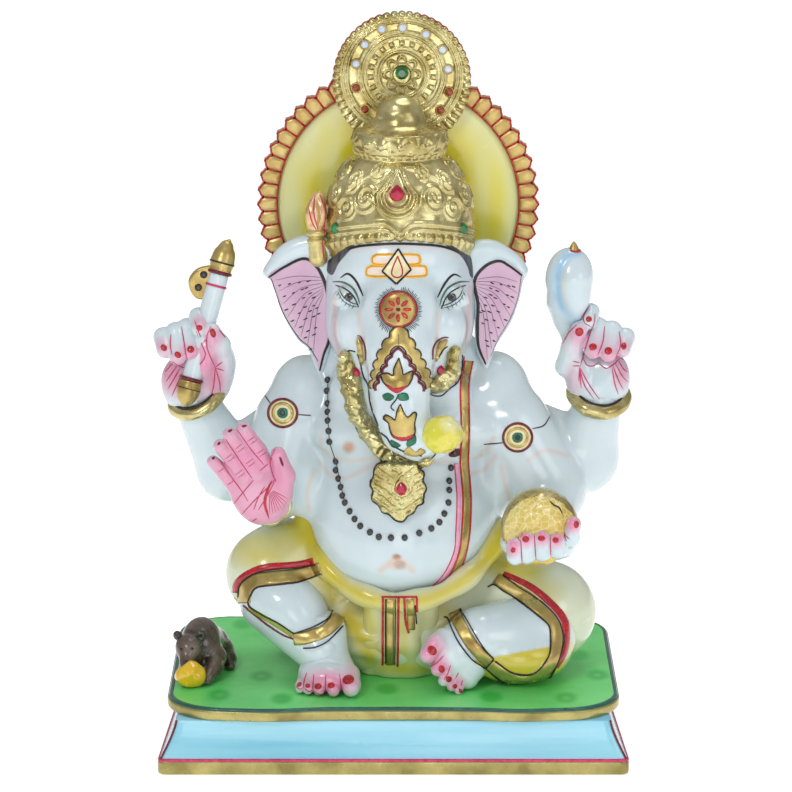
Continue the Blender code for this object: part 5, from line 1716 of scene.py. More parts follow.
def build_base():
    low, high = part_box("plinth_foot")
    hx, hy = (high.x - low.x) / 2 / UNIT, (high.y - low.y) / 2 / UNIT
    foot = rect_points(hx, hy, 4, 3)
    foot[:, 0] *= 1 - PLINTH_BACK_TAPER * (foot[:, 1] + hy) / (2 * hy)
    rows = [level(foot * s, z) for s, z in ((0.992, 0), (0.998, 0.6), (1, 1.6), (1, 7.4), (0.998, 8.6),
                                            (0.985, 9.2))]
    add_piece("plinth_foot_gold", *loft(rows), RIM_GOLD, ("plinth_foot",), "gold_leaf")
    line = [level(foot * s, z) for s, z in ((0.97, 8.0), (0.9995, 8.4), (1.0005, 9.2), (0.998, 10.2),
                                            (0.97, 10.5))]
    paint("plinth_red_line", CRIMSON, [loft(line)])
    rings = []
    for share in np.linspace(0, 1, 26):
        flare = PLINTH_NECK + (0.994 - PLINTH_NECK) * (1 - share) ** 1.35
        rings.append(level(foot * flare, 9.6 + share * 23.4))
    points, faces = loft(rings)
    add_piece("plinth_blue", points, faces, BLUE, ("plinth",), "blue_paint", wash=np.zeros((len(points), 4)))
    corners = []
    for sx in (-1, 1):
        path = []
        for share in np.linspace(0.02, 0.99, 24):
            flare = PLINTH_NECK + (0.994 - PLINTH_NECK) * (1 - share) ** 1.35
            path.append((sx * (hx - 0.9) * flare, -(hy - 0.9) * flare, 9.6 + share * 23.4, 0.7))
        corners.append(tube(path))
    paint("plinth_corner_lines", MAROON, corners)

    low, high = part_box("seat_slab")
    hx, hy = (high.x - low.x) / 2 / UNIT + 1.4, (high.y - low.y) / 2 / UNIT
    slab = rect_points(hx, hy, 34, 1.6)
    swell = -3.4 * np.exp(-((np.abs(slab[:, 0]) - 80) / 26) ** 2) * np.clip((-60 - slab[:, 1]) / 20, 0, 1)
    slab = slab + np.stack([0 * swell, swell], 1)
    rings = [level(slab * s, z) for s, z in ((0.985, 33.2), (0.994, 33.6), (0.999, 34.6), (1.0, 36.0),
                                             (1.0, 38.6), (0.998, 39.6), (0.98, 39.8))]
    add_piece("seat_rim_gold", *loft(rings), RIM_GOLD, (), "gold_leaf")
    clay = Clay((-hx, -hy - 4, 30), (hx, hy, 44), 1.3)
    cuts, (x, y, z) = clay.window(clay.low, clay.low + clay.grain * np.array(clay.d.shape))
    flat = polygon_distance(x[:, :, 0], y[:, :, 0], slab * 0.9965)[:, :, None]
    clay.merge(cuts, np.maximum(flat, np.abs(z - 39.3) - 1.9).astype(np.float32), 0, "add")
    points, faces = clay.mesh(1)
    points[:, 2] += 0.07 * lumps(points * (1, 1, 0), 38, 101) * (points[:, 2] > 40)
    keep_surface("slab", points, faces)
    wash = Wash(points, faces)
    x, y = points[:, 0], points[:, 1]
    shade = np.exp(-np.clip(np.hypot((x - 10) / 112, (y + 6) / 66), 0, 9) ** 4)
    wash.lay(shade * (0.2 + 0.12 * lumps(points, 34, 102)), "#3cc04a")
    for sx, sy, turn in ((-100, 81, 0), (-84, -33, 1), (-109, -72, 1), (-70, -80, 0), (-68, 12, 0),
                         (-4, -60, 0), (61, -76, 0), (108, -78, 1), (130, -31, 1), (52, -24, 0), (-20, 84, 1),
                         (60, 82, 0), (112, 62, 1), (120, 12, 0), (-125, 20, 0)):
        d = np.hypot((x - sx) / 8.0, (y - sy) / 13.0)
        wash.lay(np.clip(1.9 - 1.7 * d, 0, 1) * 0.8, "#1fbf45")
        if turn:
            wash.lay(np.clip(1.2 - 2.6 * d, 0, 1) * 0.6, "#84d680")
    edge = -polygon_distance(x, y, slab * 0.9965)
    wash.lay(np.clip((2.2 - edge) / 0.8, 0, 1), "#0c5a4c")
    add_piece("seat_slab_green", points, faces, GREEN, ("seat_slab",), "green_paint", wash=wash.rgba)
    ring = slab * 0.9965
    inward = ring * (1 - 1.9 / np.linalg.norm(ring, axis=1))[:, None]
    path = inward[::3]
    paint("slab_dark_edge", TEAL, [strip(("slab",), np.vstack([path, path[:1]]), 2.6, 0.25, "down", 2.5)])


def tube(beads, sides=8):
    """A closed bent bar through beads (x, y, z, radius)."""
    beads = np.array(beads, float)
    along = np.gradient(beads[:, :3], axis=0)
    rows = []
    for p, t in zip(beads, along):
        t = t / (np.linalg.norm(t) + 1e-9)
        u = np.cross(t, (0, 1, 0) if abs(t[1]) < 0.9 else (1, 0, 0))
        u /= np.linalg.norm(u)
        v = np.cross(t, u)
        for j in range(sides):
            s = j * 2 * math.pi / sides
            rows.append(p[:3] + p[3] * (u * math.cos(s) + v * math.sin(s)))
    faces = [[i * sides + j, i * sides + (j + 1) % sides, (i + 1) * sides + (j + 1) % sides,
              (i + 1) * sides + j]
             for i in range(len(beads) - 1) for j in range(sides)]
    faces.append(list(range(sides))[::-1])
    faces.append([(len(beads) - 1) * sides + j for j in range(sides)])
    return np.array(rows), faces


def build_mouse():
    clay = Clay((-140, -64, 41), (-100, 12, 80), 0.75)
    clay.ball((-122.5, -20, 58.5), (13.6, 19, 17.2))
    clay.ball((-117.5, -7, 54), (12.5, 12, 12.5), 5)
    clay.ball((-129.5, -42, 63.5), (8.6, 9, 8.2), 1.6)
    clay.chain(((-130, -46, 61, 6.6), (-131, -53, 55.5, 3.6), (-131.2, -55, 54, 2.6)), 2.5)
    clay.ball((-122.6, -38, 69.5), (3.6, 2.4, 4.2), 0.8, (0, 30, 0))
    clay.ball((-122.2, -40.6, 69.0), (2.2, 1.4, 2.8), 0.5, (0, 30, 0), "cut")
    clay.ball((-136.6, -38, 69.5), (3.0, 2.2, 3.4), 0.8, (0, -30, 0))
    clay.chain(((-113.5, -30, 53, 7.5), (-114, -42, 49, 5.6), (-117, -51, 46, 3.6)), 3)
    clay.chain(((-109, -6, 50, 7), (-105.5, -14, 46.5, 4.6), (-104, -22, 44.4, 3.0)), 3)
    for x in (-121.5, -118.7, -116.0):
        clay.limb((x, -51, 46), (x - 0.8, -55.5, 43.8), 1.9, 1.3, 0.6)
    keep_above(clay, SEAT_TOP)
    points, faces = clay.mesh()
    keep_surface("mouse", points, faces)
    wash = Wash(points, faces)
    wash.spot(-121, 68, 10, 9, "#857a72", 0.5)
    wash.line(((-121, 72), (-118, 66), (-118, 58), (-121, 52)), 2.2, "#1d1714", 0.8)
    wash.line(((-137, 70), (-134, 77), (-128, 79.5), (-122, 76)), 1.4, "#1d1714", 0.7)
    wash.spot(-122, 74.6, 2.4, 3.2, "#0e0b0a", 1.0)
    add_piece("mouse_brown", points, faces, MOUSE, ("mouse",), "brown_paint", wash=wash.rgba)
    on = ("mouse",)
    paint("mouse_marks", BLACK, [fill(on, oval(x, z, r, r * 0.9), 0.3, step=0.5, closed_spline=False)
                                 for x, z, r in ((-133.2, 67.2, 1.0), (-126.4, 67.8, 1.0),
                                                 (-130.4, 58.6, 1.7))])


# ---------------------------------------------------------------- painted face, ears and dress

def strokes(name, finish, on, paths, width, lift=0.26, taper=0.0, slot=None, step=1.0):
    """One piece of raised strokes along paths of the painter's plane."""
    return paint(name, finish, [strip(on, p, width, lift, taper=taper, step=step) for p in paths], slot)


def patches(name, finish, on, outlines, lift=0.25, curved=True, step=0.9, slot=None, crown=0.0, relief=None):
    """One piece of raised patches inside outlines of the painter's plane."""
    return paint(name, finish, [fill(on, o, lift, step=step, closed_spline=curved, crown=crown, relief=relief)
                                for o in outlines], slot)


def paint_face():
    on = ("head",)
    strokes("brows", BLACK, on, [((-32.5, 305.5), (-28, 308), (-23, 303.5), (-18.5, 294)),
                                 ((41.5, 306), (37, 307.5), (32, 302.5), (27, 293))], 1.5, taper=0.7)
    patches("eye_whites", EYE_WHITE, on, [((-34, 300), (-30, 299), (-25.6, 296), (-21.8, 289.4), (-26, 290.2),
                                           (-30.6, 293.6)),
                                          ((43, 300), (38.4, 298.8), (34, 295.6), (29.8, 288.4), (35.4, 290),
                                           (40.4, 293.8))], 0.18)
    patches("irises", SLATE, on, [oval(-27.4, 293.6, 2.9, 2.9), oval(36.0, 293.4, 2.9, 2.9)], 0.3, False, 0.6)
    patches("pupils", BLACK, on, [oval(-27.4, 293.6, 1.3, 1.4), oval(36.0, 293.4, 1.3, 1.4)],
            0.45, False, 0.5)
    # The small cream dots on the irises are painted highlights in the eyes.
    patches("eye_painted_highlights", CREAM, on, [oval(-26.6, 294.6, 0.55, 0.55, count=8),
                                      oval(36.8, 294.4, 0.55, 0.55, count=8)], 0.6, False, 0.4)
    strokes("eye_lids", BLACK, on, [((-35.4, 300.8), (-31, 299.2), (-26.6, 296.2), (-23.6, 292),
                                     (-21.4, 287)),
                                    ((44.6, 300.8), (39.6, 299), (34.8, 295.8), (31.8, 291.6), (29.4, 286))],
                                    1.15, taper=0.5)
    strokes("lower_lids", BLACK, on, [((-33.5, 298.8), (-30.8, 293.6), (-26, 290), (-21.5, 288.6)),
                                      ((42.8, 298.8), (40.6, 293.8), (35.4, 289.8), (29.4, 287.6))], 0.65,
                                      taper=0.4)
    strokes("upper_lid_folds", DARK_GREEN, on, [((-37.5, 303), (-31.5, 302.8), (-25.8, 299.8), (-22.4, 294.6),
                                                 (-20.6, 289)),
                                                ((47, 303), (40.4, 302.8), (34, 299.4), (30.4, 294),
                                                 (28.4, 288))], 1.3, taper=0.8)
    strokes("lower_lid_shadow", DARK_GREEN, on, [((-34, 296.4), (-31.4, 291.6), (-26.6, 288.2), (-21.6, 287)),
                                                 ((43.4, 296.4), (41, 291.6), (36, 288), (29.6, 286.2))], 0.6,
                                                 0.22, taper=0.6)
    lashes = []
    for x, z in ((-33.4, 296.6), (-32.2, 294.4), (-30.6, 292.4), (-28.6, 290.6), (-26.4, 289.2),
                 (-24.2, 288.4)):
        lashes.append(((x, z), (x - 1.4, z - 2.6)))
    for x, z in ((43, 296.6), (41.8, 294.2), (40, 292.2), (38, 290.4), (35.6, 289), (33, 287.8)):
        lashes.append(((x, z), (x + 1.2, z - 2.6)))
    strokes("lashes", BLACK, on, lashes, 0.42, 0.24, 0.6)
    hair = [((-43.5, 313), (-36, 319.5), (-28.5, 325), (-24, 326), (-29, 320), (-33.6, 314.5), (-37.2, 307.5),
             (-40.5, 309)),
            ((31, 327), (40, 325), (46.4, 320), (50.6, 314), (50.2, 305.5), (47.2, 306.5), (45.4, 312.5),
             (41, 319.5))]
    patches("hair_strips", HAIR, on, hair, 0.5, True, 0.9)
    tilak = [((-10.6, 319.8), (2, 320), (14.0, 319.8), (16.0, 318), (16.2, 316), (14.2, 314.2), (2, 313.8),
              (-11, 314.2), (-12.8, 316), (-12.6, 318.2)),
             ((-13.4, 312.8), (2, 312.6), (17.8, 312.8), (20, 311), (20.2, 308.6), (18.2, 306.6), (2, 306.2),
              (-14.2, 306.6), (-16.4, 308.6), (-16, 311.2))]
    patches("tilak_bars", PALE_WASH, on, tilak, 0.15)
    strokes("tilak_glow", YELLOW_PAINT, on, [list(p) + [p[0]] for p in tilak], 2.0, 0.24)
    strokes("tilak_outlines", ORANGE, on, [list(p) + [p[0]] for p in tilak], 0.9, 0.36)
    rhomb = [(3, 323.5), (10.8, 310.5), (1.8, 301.5), (-6.8, 309.5)]
    patches("tilak_diamond", CREAM, on, [rhomb], 0.4, False, slot="gold_leaf")
    strokes("tilak_diamond_outline", BLACK, on, [rhomb[i:i + 2] for i in range(3)] + [(rhomb[3], rhomb[0])],
            1.3, 0.6)
    hem = ((-42.4, 310.6), (-34.8, 317.6), (-28.5, 322.8), (-21.2, 325.2), (-8.6, 326.4), (2.9, 326.8),
           (16.5, 326.4), (29.1, 325.2), (38.5, 322.2), (44.8, 318), (50.4, 310.6))
    strokes("crown_hem_line", BLACK, on, [hem], 1.6, 0.5)
    strokes("tilak_drop", RED, on, [((2.6, 319), (5.4, 311), (5.0, 306.6), (2.0, 305.4), (-0.8, 307.2),
                                     (-0.4, 311.5), (2.6, 319))],
            1.15, 0.65)
    medal_x, medal_z = 3.0, 285.6
    patches("brow_medallion", GOLD_PAINT, on, [oval(medal_x, medal_z, 10.8, 10.8, count=36)], 0.5, False,
            slot="gold_leaf", crown=0.5)
    ring = oval(medal_x, medal_z, 10.9, 10.9, count=30)
    strokes("brow_medallion_dark_ring", BLACK, on, [[(medal_x + (x - medal_x) * 1.06,
                                                      medal_z + (z - medal_z) * 1.06)
                                                     for x, z in list(ring) + [ring[0]]]], 1.0, 0.6)
    strokes("brow_medallion_ring", RED, on, [list(map(tuple, ring)) + [tuple(ring[0])]], 1.2, 0.8)
    petals = []
    for i in range(8):
        a = i * math.pi / 4
        petals.append(oval(medal_x + 5.4 * math.cos(a), medal_z + 5.4 * math.sin(a), 3.2, 1.7,
                           math.degrees(a)))
    patches("brow_medallion_flower", RED, on, petals, 1.35, False, 0.6)
    veins = [oval(medal_x + 5.6 * math.cos(i * math.pi / 4), medal_z + 5.6 * math.sin(i * math.pi / 4),
                  1.9, 0.6, i * 45) for i in range(8)]
    patches("brow_medallion_veins", GOLD_PAINT, on, veins, 1.6, False, 0.5)
    patches("brow_medallion_heart", MAROON, on, [oval(medal_x, medal_z, 1.7, 1.7)], 1.45, False, 0.6)
    rays = []
    for i in range(84):
        a = 2 * math.pi * (i + 0.5) / 84
        if abs(math.cos(a)) < 0.12:
            continue
        reach = 14.6 + (1.4 if math.sin(a) < -0.6 else 0) + 0.6 * math.sin(i * 2.4)
        rays.append(((medal_x + 11.6 * math.cos(a), medal_z + 11.6 * math.sin(a)),
                     (medal_x + reach * math.cos(a + 0.04), medal_z + reach * math.sin(a + 0.04))))
    strokes("brow_medallion_rays", BLACK, on, rays, 0.5, 0.24, 0.8)


def scallop(points, bulge):
    """A row of round lobes between the points: each lobe swells away from the trunk's centre line."""
    out = []
    for (ax, az), (bx, bz) in zip(points, points[1:]):
        nx, nz = bz - az, ax - bx
        side = 1 if nx * ((ax + bx) / 2 - 3) > 0 else -1
        long = math.hypot(nx, nz)
        for k in range(5):
            t = k / 5
            rise = side * bulge * math.sin(math.pi * t) ** 0.7
            out.append((ax + (bx - ax) * t + nx / long * rise, az + (bz - az) * t + nz / long * rise))
    return out + [points[-1]]


def paint_trunk():
    on = ("head",)
    left = scallop(((3.6, 275.2), (-2.6, 268), (-6.8, 261), (-9.6, 254.4), (-11.4, 248), (-12.6, 241.5),
                    (-13.8, 235.5)), 1.9)
    right = scallop(((3.6, 275.2), (9.6, 268), (13.2, 261), (16.6, 254.8), (19.4, 249), (22, 243),
                     (24.6, 237)), 1.9)
    inner_left = scallop(((2.9, 262.5), (-2, 257), (-5, 251.4), (-7.6, 246.2), (-9.8, 240.8),
                          (-11.8, 235.5)), 1.3)
    inner_right = scallop(((2.9, 262.5), (7.8, 257), (11, 251.6), (13.8, 246.6), (16.6, 241),
                           (19.6, 235)), 1.3)
    arch = left[::-1] + right[1:] + inner_right[::-1] + inner_left[1:]
    patches("trunk_arch", GOLD_PAINT, on, [arch], 0.45, False, 0.8, "gold_leaf", crown=0.35)
    strokes("trunk_arch_outline", BLACK, on, [left, right], 0.95, 0.5)
    strokes("trunk_arch_maroon", MAROON, on, [[(x + 0.9, z - 1.3) for x, z in inner_left],
                                              [(x - 0.9, z - 1.3) for x, z in inner_right]],
            1.8, 0.5)
    strokes("trunk_arch_centre", BLACK, on, [((3.2, 270), (3.4, 263)), inner_left, inner_right], 0.5, 0.9)
    lotus = [(3.3, 255.0), (5.4, 248.2), (6.1, 244.5), (9.5, 246.0), (11.9, 246.7), (11.7, 242.2),
             (9.0, 237.4), (5.1, 235.5), (2.1, 232.9), (-1.5, 236.2), (-5.9, 239.2), (-7.8, 244.5),
             (-3.7, 245.5), (-0.2, 244.0), (0.2, 248.2)]
    patches("trunk_lotus", GOLD_PAINT, on, [lotus], 0.45, False, 0.8, "gold_leaf", crown=0.4)
    strokes("trunk_lotus_outline", BLACK, on, [lotus + [lotus[0]]], 0.8, 0.6)
    patches("trunk_lotus_base", RED, on, [((-5.2, 238.6), (2.0, 236.6), (8.6, 238), (6.5, 235), (2.1, 232.6),
                                           (-3, 235.4))], 1.0, True, 0.7)
    patches("trunk_leaves", LEAF_GREEN, on, [((-6.8, 231.5), (-3, 233), (0.6, 230.4), (-1.8, 227.8),
                                              (-5.4, 228.2)),
                                             ((2, 230.4), (5, 233), (8.6, 232.4), (9.4, 228.6), (4.6, 227.8)),
                                             ((-1.5, 203), (2, 201.4), (4.6, 199.2), (1, 197.6), (-2, 199.6)),
                                             ((8, 201), (11, 206), (13.6, 206.4), (14, 201), (9.2, 198.4))],
                                             0.4, True, 0.7)
    bud = [(4.3, 225.7), (6.1, 221.2), (8.8, 217.4), (12.4, 220.4), (14.3, 219.6), (13.2, 213.6),
           (13.5, 207.6), (11.0, 203.8), (5.8, 202.7), (0, 204.8), (-2.3, 209.8), (-3.0, 213.6),
           (-6.2, 216.6), (-4.7, 218.9), (-1.5, 217.4), (1.1, 215.9), (2.2, 221.2)]
    patches("trunk_bud", GOLD_PAINT, on, [bud], 0.45, False, 0.8, "gold_leaf", crown=0.4)
    strokes("trunk_bud_outline", BLACK, on, [bud + [bud[0]]], 0.8, 0.6)
    strokes("trunk_bud_stem", BLACK, on, [((3.2, 232), (1.6, 228.5), (-1.5, 224.0), (0.5, 221.5))], 0.9, 0.4)
    patches("trunk_bud_base", RED, on, [((-0.6, 207), (5.4, 205.2), (12.6, 207), (10.8, 203.8), (5.6, 202),
                                         (0.6, 204.2))], 1.0, True, 0.7)
    patches("trunk_low_lotus", GOLD_PAINT, on, [((6.6, 193.9), (7.6, 197.3), (9.9, 198.8), (12.0, 196.7),
                                                 (13.9, 195.4), (16.8, 197.7), (20.2, 195.4), (17.6, 193.2),
                                                 (13.2, 192.1))], 0.45, True, 0.7, "gold_leaf", crown=0.4)
    # This maroon patch at the trunk's opening stands for its dark red paint and the painted shade of the
    # hollow together.
    patches("trunk_tip_red_paint_and_shade", MAROON, ("head", "body"), [oval(38.5, 194.6, 4.6, 2.6, 20)], 0.3, False, 0.7)


def paint_ears():
    veins_right = []
    for x, z in ((-72.5, 304), (-70.5, 297), (-68, 289), (-65, 281), (-61, 274), (-57, 268.5), (-53, 263),
                 (-49.5, 256)):
        veins_right.append(((-43, 306 - (306 - z) * 0.22), ((x - 43) / 2 - 1, (z + 303) / 2 + 3), (x, z)))
    veins_left = []
    for x, z in ((76, 303), (76, 296), (74.5, 289), (72, 281.5), (68.5, 274), (64.5, 267.5), (60.5, 261),
                 (58, 254)):
        veins_left.append(((51, 305 - (305 - z) * 0.2), ((x + 51) / 2 + 1, (z + 303) / 2 + 3), (x, z)))
    strokes("right_ear_veins", GREY, ("right_ear_marble",), veins_right, 0.42, 0.2, 0.5)
    strokes("left_ear_veins", GREY, ("left_ear_marble",), veins_left, 0.42, 0.2, 0.5)
    draw = np.random.default_rng(12)
    for name, sign, fan in (("right_ear_marble", -1, veins_right), ("left_ear_marble", 1, veins_left)):
        dashes = []
        for a, b in zip(fan[:-1], fan[1:]):
            for share in (0.35, 0.55, 0.75, 0.92):
                share += draw.uniform(-0.06, 0.06)
                p = (np.array(a[0]) + b[0]) / 2 * (1 - share) + (np.array(a[2]) + b[2]) / 2 * share
                d = np.array((sign * 1.15, -0.5)) * draw.uniform(0.7, 1.1)
                dashes.append((tuple(p - d), tuple(p + d)))
        strokes(name.replace("marble", "dashes"), BLACK, (name,), dashes, 0.85, 0.24, 0.5, step=0.6)
    strokes("right_ear_rim", BLACK, ("right_ear_marble",),
            [((-77, 305.5), (-66.5, 312.5), (-55, 317.5), (-47.5, 313), (-42.5, 303.5), (-40, 292),
              (-39.3, 282), (-39.5, 267.5), (-43, 257), (-45.5, 247))], 2.0, 0.45, 0.5)
    strokes("right_ear_thin_rim", BLACK, ("right_ear_marble",),
            [((-75, 305), (-68, 284), (-58.5, 268), (-52, 262), (-46.5, 253))], 0.6, 0.25, 0.3)
    strokes("left_ear_rim", BLACK, ("left_ear_marble",),
            [((79, 307), (71, 313), (64.5, 316), (56, 312.5), (49.8, 303.5), (52, 289), (51.8, 276),
              (52.5, 262.5), (57, 251))],
            2.0, 0.45, 0.5)
    strokes("left_ear_thin_rim", GREY, ("left_ear_marble",), [((78.5, 307), (76.5, 293), (71.5, 279),
        (65, 268), (60, 256))],
            0.5, 0.22, 0.3)


def paint_chest():
    on = ("body",)
    beads = []
    for x, z in ((-40.5, 226), (-40.5, 220.5), (-40.5, 215), (-40, 208.5), (-39.5, 202), (-35.5, 189.5),
                 (-35.5, 183.5), (-34, 178), (-32.5, 172.5), (-31.5, 167), (-30, 162.5), (-27, 157),
                 (-24, 152), (-20.5, 147.5), (-14.5, 143.5), (-9, 140.5), (-1.5, 140), (7, 140), (16, 143),
                 (23.5, 146), (28.5, 150), (31.5, 155.5), (34, 162.5), (34.5, 170.5), (34.5, 176.5),
                 (35.5, 185), (38, 195), (-40.5, 241), (-40.8, 234)):
        hit = cast(on, x, z, "view")
        if hit is not None:
            beads.append(pebble(hit[0] + hit[1] * 0.5, (2.05, 1.4, 2.25)))
    paint("mala_beads", BEAD, beads)
    strokes("mala_thread", BLACK, on, [((-40.5, 242), (-40.5, 220), (-39.5, 202), (-35.5, 188), (-33, 175),
                                        (-30, 162))], 0.5, 0.2)
    band = [(46.5, 253), (44.2, 240), (44, 228.5), (44.5, 215), (44.5, 203), (44, 188), (45, 176),
            (45.7, 163.5), (45, 143.5), (42.5, 128), (36.5, 114), (28, 104.5), (21, 100.5)]
    strokes("shoulder_band_gold", GOLD_PAINT, on, [band], 4.6, 0.5, slot="gold_leaf")
    low_end = lambda path, d, e: [(x + d * (1 if z > 130 else 0.75),
                                   z + (0 if z > 130 else e)) for x, z in path]
    strokes("shoulder_band_red", RED, on, [low_end(band, -2.5, 1.2), low_end(band, 2.5, -1.2)], 1.1, 0.6)
    strokes("shoulder_band_pink", PINK, on, [low_end(band, -4.7, 2.4)[5:]], 2.2, 0.35)
    strokes("shoulder_band_crimson", CRIMSON, on, [low_end(band, -6.2, 3.2)[5:]], 0.6, 0.35)
    for side, x, z, ends in (("right", -68.5, 220, (((-80, 232), (-76, 226)), ((-59, 219), (-51, 218.5)))),
                             ("left", 77, 204.5, (((86, 210), (93, 212), (97, 218)),
                                                  ((56, 200), (68, 201))))):
        patches(side + "_armlet_disc", CREAM, on, [oval(x, z, 8.4, 8.4, count=30)], 0.5, False,
                slot="gold_leaf")
        ring = oval(x, z, 8.9, 8.9, count=28)
        strokes(side + "_armlet_red_ring", MAROON, on, [list(map(tuple, ring)) + [tuple(ring[0])]], 1.7, 0.7)
        ring = oval(x, z, 5.9, 5.9, count=24)
        strokes(side + "_armlet_gold_ring", GOLD_PAINT, on, [list(map(tuple, ring)) + [tuple(ring[0])]], 2.4,
                0.85, slot="gold_leaf")
        patches(side + "_armlet_eye", LEAF_GREEN, on, [oval(x, z, 3.7, 3.7, count=20)], 0.9, False, 0.7)
        patches(side + "_armlet_pupil", BLACK, on, [oval(x, z, 2.2, 2.4)], 1.1, False, 0.6)
        strokes(side + "_armlet_strings", BLACK, on, ends, 0.8, 0.3, 0.4)


def pebble(centre, radii, rings=7, around=12):
    """A rounded bead."""
    rows = [(0, 0, 1)]
    for i in range(1, rings):
        p = math.pi * i / rings
        for j in range(around):
            t = 2 * math.pi * j / around
            rows.append((math.sin(p) * math.cos(t), math.sin(p) * math.sin(t), math.cos(p)))
    rows.append((0, 0, -1))
    faces = [[0, 1 + j, 1 + (j + 1) % around] for j in range(around)]
    for i in range(rings - 2):
        for j in range(around):
            k = (j + 1) % around
            faces.append([1 + i * around + j, 1 + (i + 1) * around + j, 1 + (i + 1) * around + k,
                          1 + i * around + k])
    last = len(rows) - 1
    faces += [[last, last - around + (j + 1) % around, last - around + j] for j in range(around)]
    return np.array(rows) * np.array(radii) + np.array(centre), faces


def paint_dress():
    on = ("cloth", "right_shin", "left_shin", "right_foot", "left_foot", "fall")
    gold_right = [(-45.5, 120), (-58, 116), (-67, 115), (-76, 114), (-85.5, 112.5), (-92, 108), (-93.5, 103),
                  (-93.5, 97.5)]
    red_right = [(-50, 125), (-58, 123), (-67, 122), (-76, 121.5), (-85, 119.5), (-93.5, 115), (-98, 110),
                 (-99, 104.5)]
    strokes("right_hem_red", RED, on, [red_right], 4.2, 0.6)
    strokes("right_hem_gold", GOLD_PAINT, on, [gold_right], 8.6, 0.7, slot="gold_leaf")
    shin_edge = [(-45, 117), (-58, 111.5), (-67, 110), (-76, 109), (-85.5, 107.5), (-89, 103), (-90.5, 96),
                 (-82.5, 90), (-72.5, 84.5), (-62.5, 77.5)]
    upper_edge = [(-48.5, 122.5), (-58, 120.5), (-67, 120), (-76, 119), (-85, 117.5), (-92, 113.5),
                  (-96.5, 108), (-97, 101.5)]
    strokes("right_hem_lines", BLACK, on, [shin_edge, upper_edge], 0.9, 0.85)
    strokes("right_ankle_gold", GOLD_PAINT, on, [[(-62.5, 74), (-56.5, 74.5), (-50, 76.5), (-43, 79.5),
                                                  (-37, 85), (-34, 90)]], 8.6, 0.9, slot="gold_leaf")
    strokes("right_ankle_line", BLACK, on, [[(-56.5, 68), (-49.5, 68.5), (-42, 72), (-36, 78), (-32, 82.5)],
                                            [(-62.5, 77.5), (-50, 82), (-41, 87.5), (-38, 93)]], 0.9, 0.95)
    strokes("right_under_hem_green", LEAF_OLIVE, on, [[(-91, 94), (-85, 90.5), (-76, 85), (-67, 79),
                                                       (-63, 76)]], 3.2, 0.4)
    strokes("right_under_hem_red", MAROON, on, [[(-94, 96), (-86, 89), (-78, 82.5), (-69, 76.5), (-63, 74)]],
            1.2, 0.6)
    gold_left = [(64, 113.5), (74, 107), (83.5, 101), (92, 94), (98.5, 87.5), (102, 81), (102.5, 73.5),
                 (101.5, 64.5), (98.5, 57), (92, 50.5), (85, 45.5), (76.5, 46), (68, 51.5), (60.5, 57)]
    red_left = [(69, 117), (76, 113.5), (84.5, 109), (91.5, 104), (98, 98), (104, 91.5), (107.5, 85.5),
                (108.5, 79), (108.5, 71), (106.5, 63), (102.5, 55.5)]
    strokes("left_hem_red", RED, on, [red_left], 4.6, 0.6, taper=0.35)
    strokes("left_hem_gold", GOLD_PAINT, on, [gold_left], 8.2, 0.7, slot="gold_leaf")
    inner_edge = [(59, 108), (63, 109.5), (68.5, 105.5), (75, 101.5), (83.5, 95), (92, 88), (97.5, 82.5),
                  (98.5, 74.5), (98, 64.5), (94, 57), (88, 51.5), (81.5, 50.5), (73.5, 52.5), (64, 59.5)]
    outer_edge = [(68.5, 116), (78, 108), (87.5, 102), (96, 95), (102.5, 87.5), (105.5, 80), (107, 73.5),
                  (105, 64.5), (102.5, 57), (97.5, 47.5), (91, 43), (81.5, 40.5), (71, 44), (64, 49.5),
                  (58, 55)]
    strokes("left_hem_lines", BLACK, on, [inner_edge, outer_edge, [(58, 55), (63, 60.5)]], 0.95, 0.9)
    strokes("left_ankle_gold", GOLD_PAINT, on, [[(38, 92), (42.5, 82), (48.5, 71.5), (55, 63.5),
                                                 (60.5, 58.5)]], 7.9, 0.9, slot="gold_leaf")
    strokes("left_ankle_lines", BLACK, on, [[(31.5, 88.5), (34, 87.5), (36.5, 81), (40.5, 72.5), (46, 64.5),
                                             (50.5, 59.5), (57.5, 55)],
                                            [(41.5, 94), (46, 86.5), (52, 75.5), (57.5, 67), (63, 61)]], 0.9,
                                            0.95)
    fall = ("fall", "cloth")
    strokes("fall_gold", GOLD_PAINT, fall, [((-2.2, 100), (-2.2, 57)), ((10.6, 100), (11.2, 80))], 5.0, 0.5,
            slot="gold_leaf")
    strokes("fall_red", RED, fall, [((-6.6, 101), (-6.8, 57)), ((3.2, 101), (2.6, 56)),
                                    ((6.8, 101), (7.6, 86), (9.6, 78)), ((-7.5, 101.4), (14.8, 101.4)),
                                    ((14.6, 101), (14.8, 92))], 1.5, 0.6)
    strokes("fall_black", BLACK, fall, [((-4.9, 100), (-5, 58)), ((1.2, 100), (0.8, 57)),
                                        ((13.6, 96), (14.4, 84))], 0.7, 0.75)


